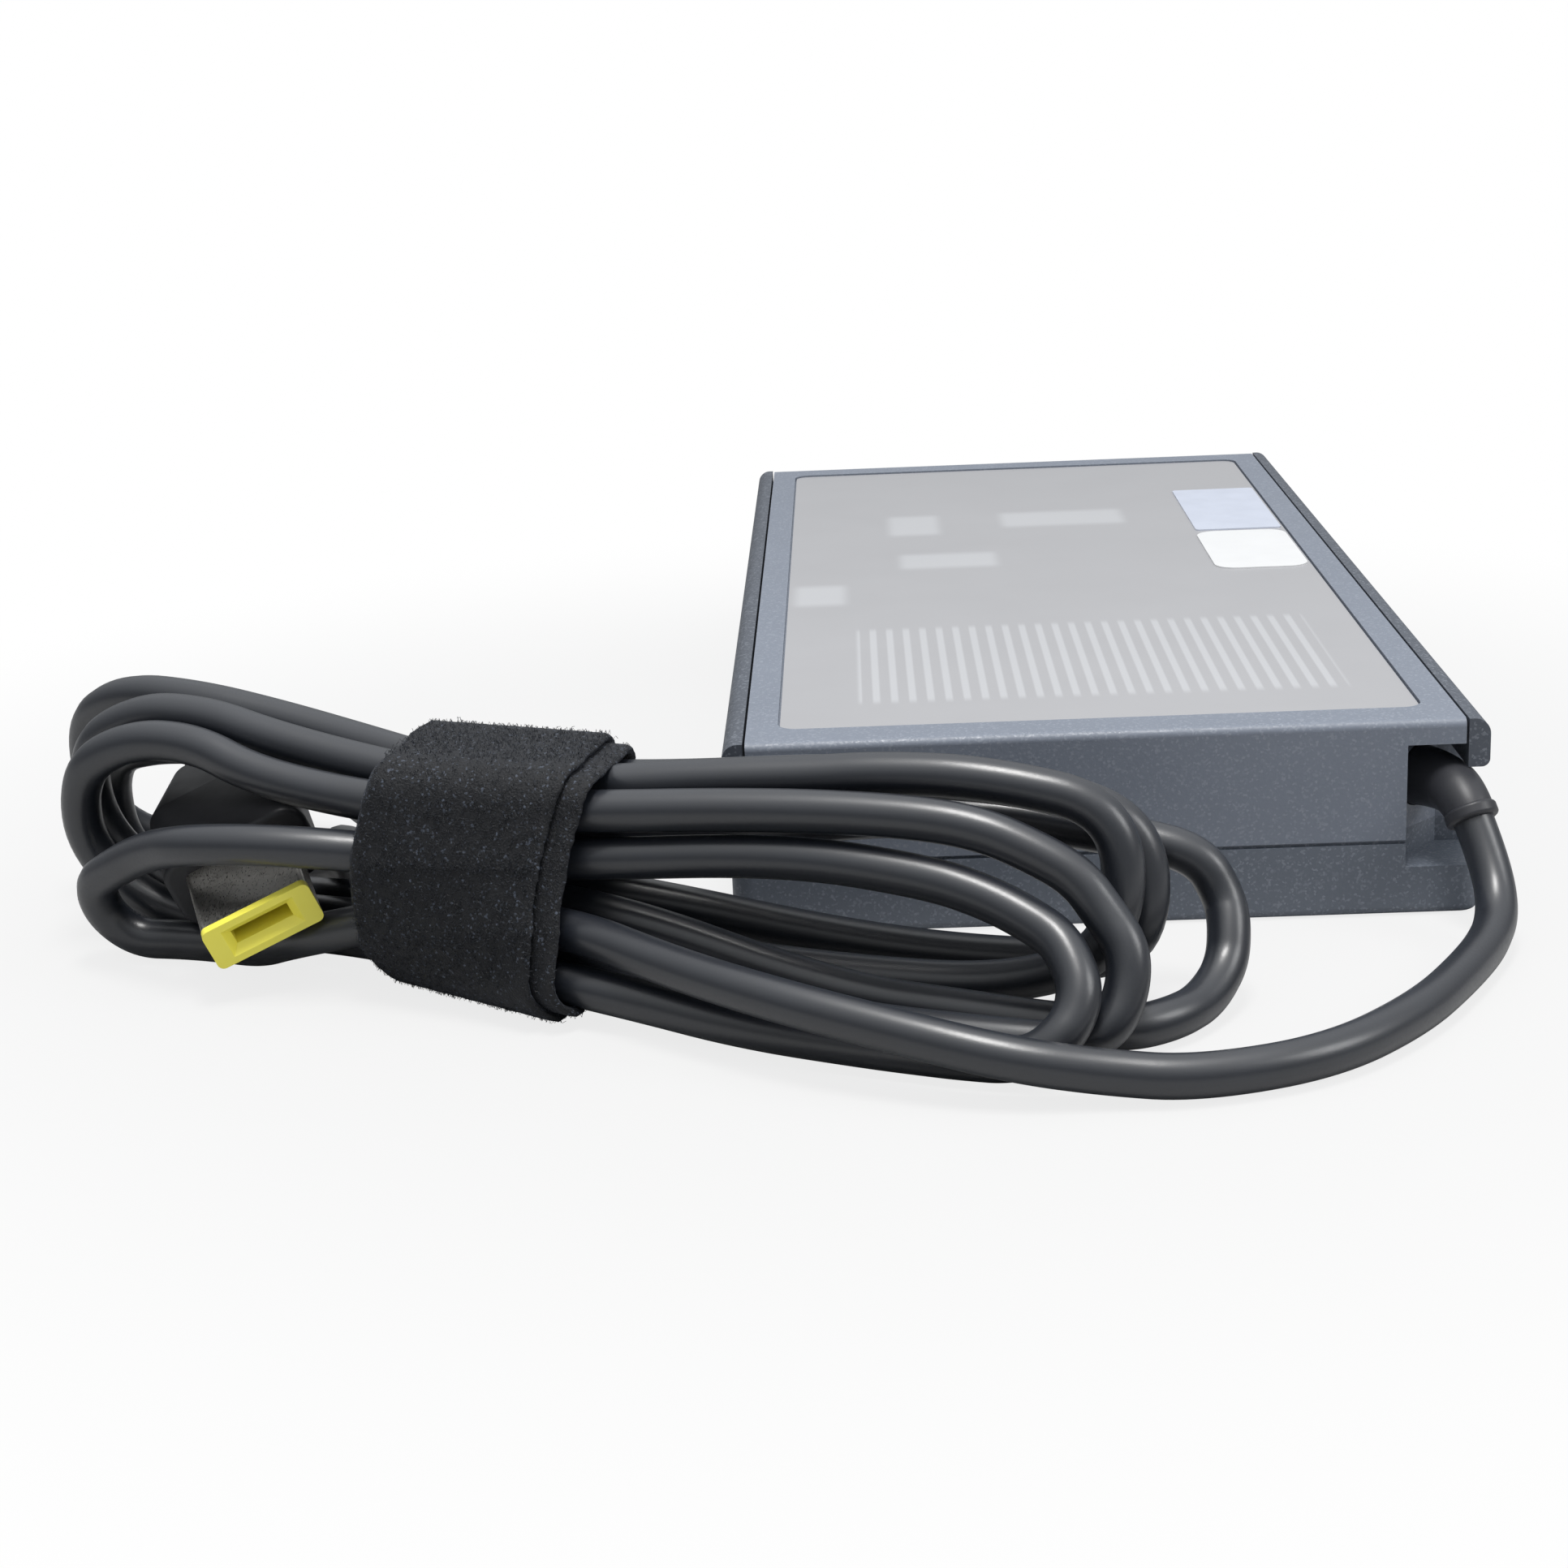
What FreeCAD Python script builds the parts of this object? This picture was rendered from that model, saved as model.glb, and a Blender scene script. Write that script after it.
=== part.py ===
import FreeCAD, Part
import math
import os

os.makedirs("parts", exist_ok=True)
V = FreeCAD.Vector

# Laptop power adapter, millimetres. Z up, the brick rests on z = 0, its long side is Y.
# The DC cord leaves the front right corner, -Y is the front and +Y the AC inlet side.

# Brick
BRICK_W = 75.0
BRICK_L = 145.0
BRICK_H = 20.0
RAIL_PROUD = 0.4
WALL = 2.2
FLOOR = 2.0
CEILING = 2.0
PARTING_H = 7.6
GROOVE_W = 0.4
GROOVE_DEEP = 0.3
CORNER_R = 2.0
EDGE_R = 0.8
RAIL_W = 2.1
RAIL_H = 4.9
RAIL_GAP = 0.25
RAIL_R = 1.6

# Stepped notch at the front right corner, where the cord leaves
NOTCH_X = 8.0
NOTCH_Y = 8.0
NOTCH_SLANT = 4.5
NOTCH_Z0 = 5.0
NOTCH_Z1 = 17.5

# Rating label and the two stickers on it
LABEL_DEEP = 0.45
LABEL_T = 0.25
LABEL_X = 32.0
LABEL_FRONT = -67.5
LABEL_REAR = 68.0
LABEL_GAP = 0.2
STICKER_T = 0.15

# AC inlet with three pins
INLET_W = 17.5
INLET_H = 14.4
INLET_DEEP = 18.0
INLET_X = -14.0
INLET_FIT = 0.1
RECESS_DEEP = 12.0
LOBE_R = 3.4
LOBE_X = 3.6
LOBE_LOW = 1.8
LOBE_HIGH = 2.6
PIN_D = 2.4
PIN_LONG = 10.0

# Circuit board and its stack
BOARD_X = 31.5
BOARD_FRONT = -58.0
BOARD_REAR = 52.0
BOARD_Z = 3.6
BOARD_T = 1.6
SPREADER_T = 0.5
SHEET_T = 0.3
POST_D = 5.0
POST_HOLE = 0.6
POST_PIN_D = 2.4
PAD_T = 0.4
WIRE_SEAT = 0.3

# Cord
CORD_D = 4.0
CORD_R = CORD_D / 2
BOOT_R0 = 3.1
BOOT_R1 = 2.3
RING_R = 2.6
RING_LONG = 1.4
FLANGE_R = 3.9
FLANGE_T = 1.4
BORE_GAP = 0.1

# Hook-and-loop strap
STRAP_T = 0.85
STRAP_CLEAR = 0.2
STRAP_LAYER_GAP = 0.1
SLEEVE_STEPS = 4
OUTER_LEFT = -10.0
OUTER_RIGHT = 8.0
INNER_LEFT = -8.0
INNER_RIGHT = 10.5
TAB_GAP = 0.3
TAB_LONG = 11.0
TAB_LEFT = -7.5
TAB_RIGHT = 5.5

# Plug
TIP_W = 11.1
TIP_H = 4.5
TIP_RIM = 1.0
SHELL_T = 0.3
SHELL_LONG = 12.0
SHELL_STEP = 0.05
SLOT_W = 5.9
SLOT_H = 1.5
SLOT_DEEP = 9.0
FUNNEL = 0.8
HOUSING_W = 15.2
HOUSING_H = 8.2
HOUSING_LONG = 12.0
TAPER_LONG = 7.0
RELIEF_LONG = 8.0
PLUG_TILT = 11.0
PLUG_ROLL = 22.0

made = {}


def save(name, shape):
    if shape.ShapeType == "Compound" and len(shape.Solids) == 1:
        shape = shape.Solids[0]
    shape.exportStep("parts/" + name + ".step")
    made[name] = shape


def block(x0, x1, y0, y1, z0, z1):
    return Part.makeBox(x1 - x0, y1 - y0, z1 - z0, V(x0, y0, z0))


def prism(points, z0, z1):
    loop = [V(x, y, z0) for x, y in points]
    return Part.Face(Part.makePolygon(loop + loop[:1])).extrude(V(0, 0, z1 - z0))


def rounded(shape, radius, chosen):
    edges = [edge for edge in shape.Edges if chosen(edge)]
    return shape.makeFillet(radius, edges)


def upright(edge):
    a, b = edge.Vertexes[0].Point, edge.Vertexes[-1].Point
    return abs(a.x - b.x) < 1e-6 and abs(a.y - b.y) < 1e-6


def at_height(z):
    return lambda edge: all(abs(vertex.Z - z) < 1e-6 for vertex in edge.Vertexes)


def cylinder(centre, axis, radius, length):
    return Part.makeCylinder(radius, length, V(*centre), V(*axis))


# Brick shell
half_l = BRICK_L / 2
half_w = BRICK_W / 2
side = half_w - RAIL_PROUD
notch_x = half_w - NOTCH_X
notch_y = -half_l + NOTCH_Y
slant_x = notch_x + NOTCH_SLANT
slant_y = notch_y - NOTCH_SLANT


def housing(z0, z1):
    body = block(-side, side, -half_l, half_l, z0, z1)
    return rounded(body, CORNER_R, upright)


def corner_plan(grow):
    turn = grow * math.tan(math.radians(22.5))
    far = half_w + 1
    front = -half_l - 1
    return [
        (far, front),
        (notch_x - grow, front),
        (notch_x - grow, slant_y + turn),
        (slant_x - turn, notch_y + grow),
        (far, notch_y + grow),
    ]


notch = prism(corner_plan(0), NOTCH_Z0, NOTCH_Z1)
kept_corner = prism(corner_plan(WALL), 0, BRICK_H)
rebate_x = half_w - RAIL_W - RAIL_GAP
rail_z = BRICK_H - RAIL_H
cavity_x = side - WALL
cavity_y = half_l - WALL
upper_x = rebate_x - CEILING
cavity = block(-cavity_x, cavity_x, -cavity_y, cavity_y, FLOOR, rail_z - CEILING)
cavity = cavity.fuse(block(-upper_x, upper_x, -cavity_y, cavity_y, FLOOR, BRICK_H - CEILING))
cavity = cavity.cut(kept_corner)

boot_base = V((notch_x + slant_x) / 2, (notch_y + slant_y) / 2, 12.8)
boot_out = V(1, -1, 0).normalize()
boot_bore = Part.makeCylinder(BOOT_R0 + BORE_GAP, 12, boot_base - boot_out * 8, boot_out)

inlet_z = BRICK_H / 2
inlet_hole = block(
    INLET_X - INLET_W / 2 - INLET_FIT,
    INLET_X + INLET_W / 2 + INLET_FIT,
    half_l - WALL - 1,
    half_l + 1,
    inlet_z - INLET_H / 2 - INLET_FIT,
    inlet_z + INLET_H / 2 + INLET_FIT,
)

groove_z0 = PARTING_H - GROOVE_W / 2
groove_z1 = PARTING_H + GROOVE_W / 2
groove = block(-side - 1, side + 1, -half_l - 1, half_l + 1, groove_z0, groove_z1)
groove_core = block(
    -side + GROOVE_DEEP,
    side - GROOVE_DEEP,
    -half_l + GROOVE_DEEP,
    half_l - GROOVE_DEEP,
    0,
    BRICK_H,
)
groove = groove.cut(rounded(groove_core, CORNER_R - GROOVE_DEEP, upright))

post_places = [(x, y) for x in (-26, 26) for y in (BOARD_FRONT + 5, BOARD_REAR - 5)]
lower = housing(0, PARTING_H)
lower = rounded(lower, EDGE_R, at_height(0))
lower = lower.cut(cavity).cut(notch).cut(inlet_hole).cut(groove)
for x, y in post_places:
    lower = lower.fuse(cylinder((x, y, FLOOR - 0.5), (0, 0, 1), POST_D / 2, BOARD_Z - FLOOR + 0.5))
    lower = lower.fuse(cylinder((x, y, FLOOR), (0, 0, 1), POST_PIN_D / 2, BOARD_Z - FLOOR + BOARD_T + 0.3))
save("lower_housing", lower.removeSplitter())

upper = housing(PARTING_H, BRICK_H)
for sign in (-1, 1):
    inner, outer = sorted((sign * rebate_x, sign * (half_w + 1)))
    upper = upper.cut(block(inner, outer, -half_l - 1, half_l + 1, rail_z, BRICK_H + 1))
end_edges = [
    e
    for e in upper.Edges
    if at_height(BRICK_H)(e) and abs(abs(e.CenterOfMass.y) - half_l) < 1e-6
]
upper = upper.makeFillet(EDGE_R, end_edges)
upper = upper.cut(cavity).cut(notch).cut(inlet_hole).cut(groove).cut(boot_bore)
label_bed = block(-LABEL_X, LABEL_X, LABEL_FRONT, LABEL_REAR, BRICK_H - LABEL_DEEP, BRICK_H + 1)
upper = upper.cut(rounded(label_bed, 2.0, upright))
save("upper_housing", upper.removeSplitter())

for name, sign in (("side_rail_left", -1), ("side_rail_right", 1)):
    inner, outer = sorted((sign * (half_w - RAIL_W), sign * half_w))
    rail = block(inner, outer, -half_l, half_l, rail_z, BRICK_H)
    for radius, height in ((RAIL_R, BRICK_H), (RAIL_R / 2, rail_z)):
        outside = [e for e in rail.Edges if abs(e.CenterOfMass.x - sign * half_w) < 1e-6]
        rail = rail.makeFillet(radius, [e for e in outside if abs(e.CenterOfMass.z - height) < 1e-6])
    save(name, rail)

label = block(
    -LABEL_X + LABEL_GAP,
    LABEL_X - LABEL_GAP,
    LABEL_FRONT + LABEL_GAP,
    LABEL_REAR - LABEL_GAP,
    BRICK_H - LABEL_DEEP,
    BRICK_H - LABEL_DEEP + LABEL_T,
)
save("rating_label", rounded(label, 1.8, upright))
label_top = BRICK_H - LABEL_DEEP + LABEL_T
silver = block(20.5, 31.5, 20.0, 46.5, label_top, label_top + STICKER_T)
save("silver_sticker", rounded(silver, 0.6, upright))
white = block(20.2, 31.5, -2.8, 18.8, label_top, label_top + STICKER_T)
save("white_sticker", rounded(white, 2.5, upright))

# AC inlet
inlet_front = half_l - INLET_DEEP
inlet = block(
    INLET_X - INLET_W / 2,
    INLET_X + INLET_W / 2,
    inlet_front,
    half_l,
    inlet_z - INLET_H / 2,
    inlet_z + INLET_H / 2,
)
pin_places = [
    (INLET_X - LOBE_X, inlet_z - LOBE_LOW),
    (INLET_X + LOBE_X, inlet_z - LOBE_LOW),
    (INLET_X, inlet_z + LOBE_HIGH),
]
recess_y = half_l - RECESS_DEEP
recess = block(
    INLET_X - LOBE_X,
    INLET_X + LOBE_X,
    recess_y,
    half_l + 1,
    inlet_z - LOBE_LOW - LOBE_R,
    inlet_z + LOBE_HIGH,
)
for x, z in pin_places:
    recess = recess.fuse(cylinder((x, recess_y, z), (0, 1, 0), LOBE_R, RECESS_DEEP + 1))
inlet = inlet.cut(recess)
for x, z in pin_places:
    inlet = inlet.cut(cylinder((x, inlet_front - 1, z), (0, 1, 0), PIN_D / 2, INLET_DEEP))
save("ac_inlet_body", inlet.removeSplitter())
pin_rear = inlet_front - 1.5
pin_front = recess_y + PIN_LONG
for name, (x, z) in zip(("ac_pin_line", "ac_pin_neutral", "ac_pin_earth"), pin_places):
    pin = cylinder((x, pin_rear, z), (0, 1, 0), PIN_D / 2, pin_front - pin_rear)
    tip = [e for e in pin.Edges if e.CenterOfMass.y > pin_front - 0.01]
    save(name, pin.makeFillet(0.6, tip))

# Board stack
board_top = BOARD_Z + BOARD_T
board = block(-BOARD_X, BOARD_X, BOARD_FRONT, BOARD_REAR, BOARD_Z, board_top)
spreader_top = FLOOR + SPREADER_T
spreader = block(-BOARD_X, BOARD_X, BOARD_FRONT, BOARD_REAR, FLOOR, spreader_top)
sheet = block(-BOARD_X, BOARD_X, BOARD_FRONT, BOARD_REAR, spreader_top, spreader_top + SHEET_T)
for x, y in post_places:
    wide = cylinder((x, y, 0), (0, 0, 1), POST_D / 2 + POST_HOLE / 2, BRICK_H)
    spreader = spreader.cut(wide)
    sheet = sheet.cut(wide)
    board = board.cut(cylinder((x, y, 0), (0, 0, 1), POST_PIN_D / 2 + 0.1, BRICK_H))
save("circuit_board", board)
save("heat_spreader_lower", spreader)
save("insulating_sheet_lower", sheet)
ceiling_z = BRICK_H - CEILING
plate_x = upper_x - 1
top_plate = block(-plate_x, plate_x, BOARD_FRONT, BOARD_REAR, ceiling_z - SPREADER_T, ceiling_z)
save("heat_spreader_upper", top_plate)
sheet_z = ceiling_z - SPREADER_T - SHEET_T
top_sheet = block(-plate_x, plate_x, BOARD_FRONT, BOARD_REAR, sheet_z, sheet_z + SHEET_T)
save("insulating_sheet_upper", top_sheet)


def on_board(x, y, wide, deep, high):
    return block(x - wide / 2, x + wide / 2, y - deep / 2, y + deep / 2, board_top, board_top + high)


def choke(x, y, core_out, core_in, high, wire):
    core = cylinder((x, y, board_top + wire), (0, 0, 1), core_out, high)
    core = core.cut(cylinder((x, y, 0), (0, 0, 1), core_in, BRICK_H))
    cover = cylinder((x, y, board_top), (0, 0, 1), core_out + wire, high + 2 * wire)
    cover = cover.cut(cylinder((x, y, 0), (0, 0, 1), core_in - wire, BRICK_H)).cut(core)
    gap = block(x - 1.5, x + 1.5, y + 0.1, y + core_out + wire + 1, 0, BRICK_H)
    return core, cover.cut(gap)


save("input_fuse", cylinder((11, 43.8, board_top + 2.6), (1, 0, 0), 2.6, 20))
save("x_capacitor", rounded(on_board(21, 35, 18, 8, 11), 0.8, upright))
save("y_capacitor_1", cylinder((-29.5, 42.5, board_top + 4), (0, 1, 0), 4, 4))
save("y_capacitor_2", cylinder((-21.2, 42.5, board_top + 4), (0, 1, 0), 4, 4))
core, cover = choke(-20, 33, 7.0, 3.6, 5.0, 1.0)
save("filter_choke_core", core)
save("filter_choke_winding", cover)
core, cover = choke(-4, 36, 7.0, 3.6, 7.0, 1.2)
save("boost_choke_core", core)
save("boost_choke_winding", cover)
save("bridge_rectifier", rounded(on_board(20, 26, 15, 4, 10.5), 0.5, upright))
for number, x in ((1, -24), (2, -11.5)):
    can = cylinder((x, -12, board_top + 5.8), (0, 1, 0), 5.8, 32)
    ends = [e for e in can.Edges if e.Curve.TypeId == "Part::GeomCircle"]
    save("bulk_capacitor_%d" % number, can.makeFillet(0.8, ends))
plate = on_board(26, 5, 1.6, 34, 10).fuse(on_board(24, 5, 5.6, 34, 1.6))
save("primary_heat_sink", plate.removeSplitter())
save("primary_transistor", block(20.7, 25.2, 0, 10, board_top + 1.6, board_top + 11.2))
transformer_z = sheet_z - PAD_T - board_top
core = on_board(7, 6, 26, 28, transformer_z)
window_z0 = board_top + 2.2
window_z1 = board_top + transformer_z - 2.2
for window_y0, window_y1 in ((-3.2, 1.4), (10.6, 15.2)):
    core = core.cut(block(-8, 22, window_y0, window_y1, window_z0, window_z1))
core = core.common(block(-3.5, 17.5, -20, 30, 0, BRICK_H))
save("transformer_core", core.removeSplitter())
coil = block(-4.5, 18.5, -2.9, 1.3, window_z0 + 0.1, window_z1 - 0.1)
coil = coil.fuse(block(-4.5, 18.5, 10.7, 14.9, window_z0 + 0.1, window_z1 - 0.1))
coil = coil.fuse(block(17.6, 18.5, -2.9, 14.9, window_z0 + 0.1, window_z1 - 0.1))
save("transformer_winding", coil.removeSplitter())
save("thermal_pad", block(-2, 16, -6, 18, board_top + transformer_z, sheet_z))
plate = on_board(-27, -36, 1.6, 30, 10).fuse(on_board(-25, -36, 5.6, 30, 1.6))
save("secondary_heat_sink", plate.removeSplitter())
save("secondary_rectifier", block(-26.2, -21.7, -41, -31, board_top + 1.6, board_top + 11.2))
for number, x in ((1, -14), (2, -4.5), (3, 5)):
    can = cylinder((x, -46, board_top), (0, 0, 1), 4, 11.5)
    can = rounded(can, 0.5, at_height(board_top + 11.5))
    save("output_capacitor_%d" % number, can)
save("output_choke", rounded(on_board(-8, -30, 13, 11, 10), 1.0, upright))
save("optocoupler", on_board(16, -20, 6.4, 4.6, 3.5))
save("control_chip_1", on_board(8, -22, 5, 6, 1.6))
save("control_chip_2", on_board(14, -34, 5, 4, 1.6))


def corner_wire(points):
    edges = []
    start = points[0]
    for before, here, after in zip(points, points[1:], points[2:]):
        back = (before - here)
        on = (after - here)
        turn = math.pi - back.getAngle(on)
        reach = 0.45 * min(back.Length, on.Length)
        a = here + back * (reach / back.Length)
        b = here + on * (reach / on.Length)
        radius = reach / math.tan(turn / 2)
        middle_way = (back.normalize() + on.normalize()).normalize()
        centre_gap = math.hypot(reach, radius)
        middle = here + middle_way * (centre_gap - radius)
        edges.append(Part.LineSegment(start, a).toShape())
        edges.append(Part.Arc(a, middle, b).toShape())
        start = b
    edges.append(Part.LineSegment(start, points[-1]).toShape())
    return Part.Wire(edges)


def tube(wire, radius):
    first = wire.Edges[0]
    start = first.valueAt(first.FirstParameter)
    ahead = first.tangentAt(first.FirstParameter)
    ring = Part.Wire(Part.makeCircle(radius, start, ahead))
    return wire.makePipeShell([ring], True, False)


def sample(wire, step):
    points = []
    for edge in wire.Edges:
        count = max(2, int(edge.Length / step) + 1)
        points += edge.discretize(Number=count)[:-1]
    return points


def report_tube(name, wire, solid, radius):
    expected = math.pi * radius * radius * wire.Length
    tight = [e.Curve.Radius for e in wire.Edges if e.Curve.TypeId == "Part::GeomCircle"]
    lowest = min(point.z for point in sample(wire, 0.5)) - radius
    print(name, "length %.1f" % wire.Length, "volume ratio %.4f" % (solid.Volume / expected))
    print(name, "tightest radius %.1f" % min(tight), "least height %.2f" % lowest)


# Internal leads
for name, x in (("inlet_lead_line", INLET_X - LOBE_X), ("inlet_lead_neutral", INLET_X + LOBE_X)):
    head = V(x, pin_rear, inlet_z - LOBE_LOW)
    foot = V(x, 49.4, board_top + WIRE_SEAT)
    save(name, tube(corner_wire([head, V(x, 50.2, 8.2), foot]), 0.7))

boot_end = V(35.4, -75.5, 10.5)
boot_down = V(0.25, -0.55, -0.80).normalize()


def biarc(p0, t0, p1, t1):
    span = p1 - p0
    same = 2 * (t0.dot(t1) - 1)
    along = -2 * span.dot(t0 + t1)
    if abs(same) < 1e-9:
        arm = -span.dot(span) / along
    else:
        root = math.sqrt(along * along - 4 * same * span.dot(span))
        arm = (-along - root) / (2 * same)
        if arm < 0:
            arm = (-along + root) / (2 * same)
    a = p0 + t0 * arm
    b = p1 - t1 * arm
    return a, b, (a + b) * 0.5


def arc_between(p0, corner, p1):
    back = p0 - corner
    on = p1 - corner
    reach = back.Length
    half = back.getAngle(on) / 2
    if math.pi / 2 - half < 1e-4:
        return Part.LineSegment(p0, p1).toShape()
    radius = reach * math.tan(half)
    middle_way = (back.normalize() + on.normalize()).normalize()
    return Part.Arc(p0, corner + middle_way * (math.hypot(reach, radius) - radius), p1).toShape()


def biarc_wire(gates):
    edges = []
    for (p0, t0), (p1, t1) in zip(gates, gates[1:]):
        span = (p1 - p0).normalize()
        if span.cross(t0).Length < 1e-5 and span.cross(t1).Length < 1e-5:
            edges.append(Part.LineSegment(p0, p1).toShape())
            continue
        a, b, joint = biarc(p0, t0, p1, t1)
        edges.append(arc_between(p0, a, joint))
        edges.append(arc_between(joint, b, p1))
    return Part.Wire(edges)


# Strain relief boot: a tapering sleeve on a bent line, an end ring, and a flange inside the wall
boot_line = biarc_wire([(boot_base, boot_out), (boot_end, boot_down)])
base_ring = Part.Wire(Part.makeCircle(BOOT_R0, boot_base, boot_out))
end_ring = Part.Wire(Part.makeCircle(BOOT_R1, boot_end, boot_down))
boot = boot_line.makePipeShell([base_ring, end_ring], True, False)
neck_long = WALL + 0.1
boot = boot.fuse(Part.makeCylinder(BOOT_R0, neck_long, boot_base - boot_out * neck_long, boot_out))
flange_at = boot_base - boot_out * (neck_long + FLANGE_T - 0.1)
boot = boot.fuse(Part.makeCylinder(FLANGE_R, FLANGE_T - 0.1, flange_at, boot_out))
ring = Part.makeCylinder(RING_R, RING_LONG, boot_end - boot_down * RING_LONG, boot_down)
boot = boot.fuse(ring.makeFillet(0.4, [e for e in ring.Edges if e.Curve.TypeId == "Part::GeomCircle"]))
save("strain_relief_boot", boot.removeSplitter())

for name, shift in (("dc_wire_positive", 1.2), ("dc_wire_return", -1.2)):
    sideways = V(1, 1, 0).normalize() * shift
    top = flange_at + sideways
    bend = top - boot_out * 5
    foot = V(bend.x - 1.5, bend.y + 1.5, board_top + WIRE_SEAT)
    save(name, tube(corner_wire([top, bend, foot]), 0.9))

# Hank frame: along the wound cord, across it to the back, and up
HANK_ORIGIN = V(-59.4, -81.8, 0)
HANK_TURN = 15.0
along = V(math.cos(math.radians(HANK_TURN)), -math.sin(math.radians(HANK_TURN)), 0)
across = V(math.sin(math.radians(HANK_TURN)), math.cos(math.radians(HANK_TURN)), 0)
up = V(0, 0, 1)


def in_hank(a, n, z):
    return HANK_ORIGIN + along * a + across * n + up * z


def heading(a, n, z):
    return (along * a + across * n + up * z).normalize()


# Strands inside the strap: place across and height at its right rim, then at its left rim
RIM_RIGHT = 9.0
RIM_LEFT = -10.0
LAYER = 4.0
STRANDS = {
    "lead": ((-5.9, 8.7), (-4.0, 8.5)),
    "low_1": ((-9.4, LAYER), (-1.9, LAYER)),
    "low_2": ((-3.8, LAYER), (3.0, LAYER)),
    "low_3": ((2.1, LAYER), (7.9, LAYER)),
    "mid_1": ((-1.3, 8.6), (0.8, 8.6)),
    "mid_2": ((3.4, 8.6), (7.0, 8.7)),
    "high_1": ((-4.6, 14.2), (-4.6, 13.6)),
    "high_2": ((4.6, 13.5), (4.8, 13.5)),
    "top_1": ((-4.5, 18.8), (-3.9, 18.2)),
    "top_2": ((0.1, 19.5), (0.5, 19.9)),
    "top_3": ((4.7, 19.0), (5.0, 19.6)),
}


def strand(name, leftward):
    right = in_hank(RIM_RIGHT, *STRANDS[name][0])
    left = in_hank(RIM_LEFT, *STRANDS[name][1])
    if leftward:
        return [(right, (left - right).normalize()), (left, (left - right).normalize())]
    return [(left, (right - left).normalize()), (right, (right - left).normalize())]


def gate(a, n, z, da, dn, dz):
    return (in_hank(a, n, z), heading(da, dn, dz))


def floor_gate(a, n, da=-1, dn=0):
    return gate(a, n, CORD_R, da, dn, 0)


# Each left end: gates out on the table, round the end, and back over the top to the strap.
# Each right end: gates over the top, round the end, and back along the table.
left_ends = [
    [gate(-17.0, -4.1, 5.1, -0.94, 0.1, -0.26), floor_gate(-28, -0.5, -1, 0.14), floor_gate(-34, -0.1, -1, -0.06),
     gate(-41.5, -2.2, 6.4, 0.05, -0.35, 0.93), gate(-36.8, -4.5, 11.3, 0.74, -0.3, 0.6),
     gate(-23.5, -8.2, 15.2, 1, 0.02, 0.03)],
    [floor_gate(-30.5, 4.5), gate(-45.7, 3.2, 14.5, 0.12, -0.2, 1), gate(-34, 1, 22.4, 1, -0.1, 0),
     gate(-20.6, -1.8, 19.7, 1, -0.14, -0.16)],
    [floor_gate(-30.0, 9.4), gate(-47, 7.8, 15, 0, -0.2, 1), gate(-35, 5.5, 23.9, 1, -0.1, 0),
     gate(-20.9, 2.8, 21.9, 1, -0.16, -0.17)],
    [floor_gate(-28.7, 14.4), gate(-48.2, 13.8, 11.0, 0, -0.15, 1), gate(-32.5, 7.6, 20.0, 1, -0.12, 0),
     gate(-20, 5.8, 17.4, 0.96, -0.07, -0.24)],
    [gate(-19.1, 8.8, 9.7, -0.72, 0.74, -0.16), floor_gate(-30.3, 23.0, -0.95, 0.25),
     gate(-52.5, 17.0, 14.5, 0, -0.25, 1), gate(-40.5, 12.2, 23.8, 1, -0.14, -0.02),
     gate(-21.4, 9.6, 21.4, 0.97, -0.21, -0.15)],
]
right_ends = [
    [gate(40, -5.8, 15.1, 1, -0.06, 0), gate(51.0, -7.5, 13.2, 0.9, -0.2, -0.38),
     gate(58.2, -11.6, 7.6, 0, -0.55, -0.84), gate(56.6, -14.6, 4.0, -0.62, -0.45, -0.64), floor_gate(47, -15.4, -1, 0.04),
     gate(23, -11.6, 2.6, -1, 0.28, 0.06)],
    [gate(38, -4.8, 19.8, 1, -0.02, 0), gate(54, -5.3, 16.6, 0.9, -0.05, -0.42),
     gate(62.3, -7.0, 8.3, 0, -0.25, -0.97), floor_gate(46, -10.6, -1, 0.05),
     gate(24, -6.8, 2.6, -1, 0.2, 0.05)],
    [gate(28.9, 0, 21.6, 1, 0, 0.07), gate(42, 0, 22.5, 1, 0, 0), gate(60.8, -0.4, 13.6, 0, -0.2, -0.98),
     floor_gate(44.9, 1.5)],
    [gate(58, 9.2, 14.3, 1, 0.06, -0.12), gate(67.3, 10, 10.1, 0.62, 0, -0.78),
     gate(69.1, 8.0, 6.1, 0, -0.5, -0.87), floor_gate(66.4, 2.0, -0.5, -0.87), floor_gate(58, -4.2, -1, -0.1),
     floor_gate(46, -5.1, -1, 0.04)],
    [gate(48, 4.8, 20.6, 1, 0, -0.03), gate(62.4, 4.0, 11.6, 0, -0.2, -0.98), floor_gate(45, 7.4)],
]
outgoing = ["lead", "low_1", "low_2", "low_3", "mid_1"]
returning = ["high_1", "top_1", "top_2", "high_2", "top_3"]
gates = []
for go, left_end, back, right_end in zip(outgoing, left_ends, returning, right_ends):
    gates += strand(go, True) + left_end + strand(back, False) + right_end
gates += strand("mid_2", True)
hank_wire = biarc_wire(gates)
hank = tube(hank_wire, CORD_R)
report_tube("dc_cord_hank", hank_wire, hank, CORD_R)
save("dc_cord_hank", hank)


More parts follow.
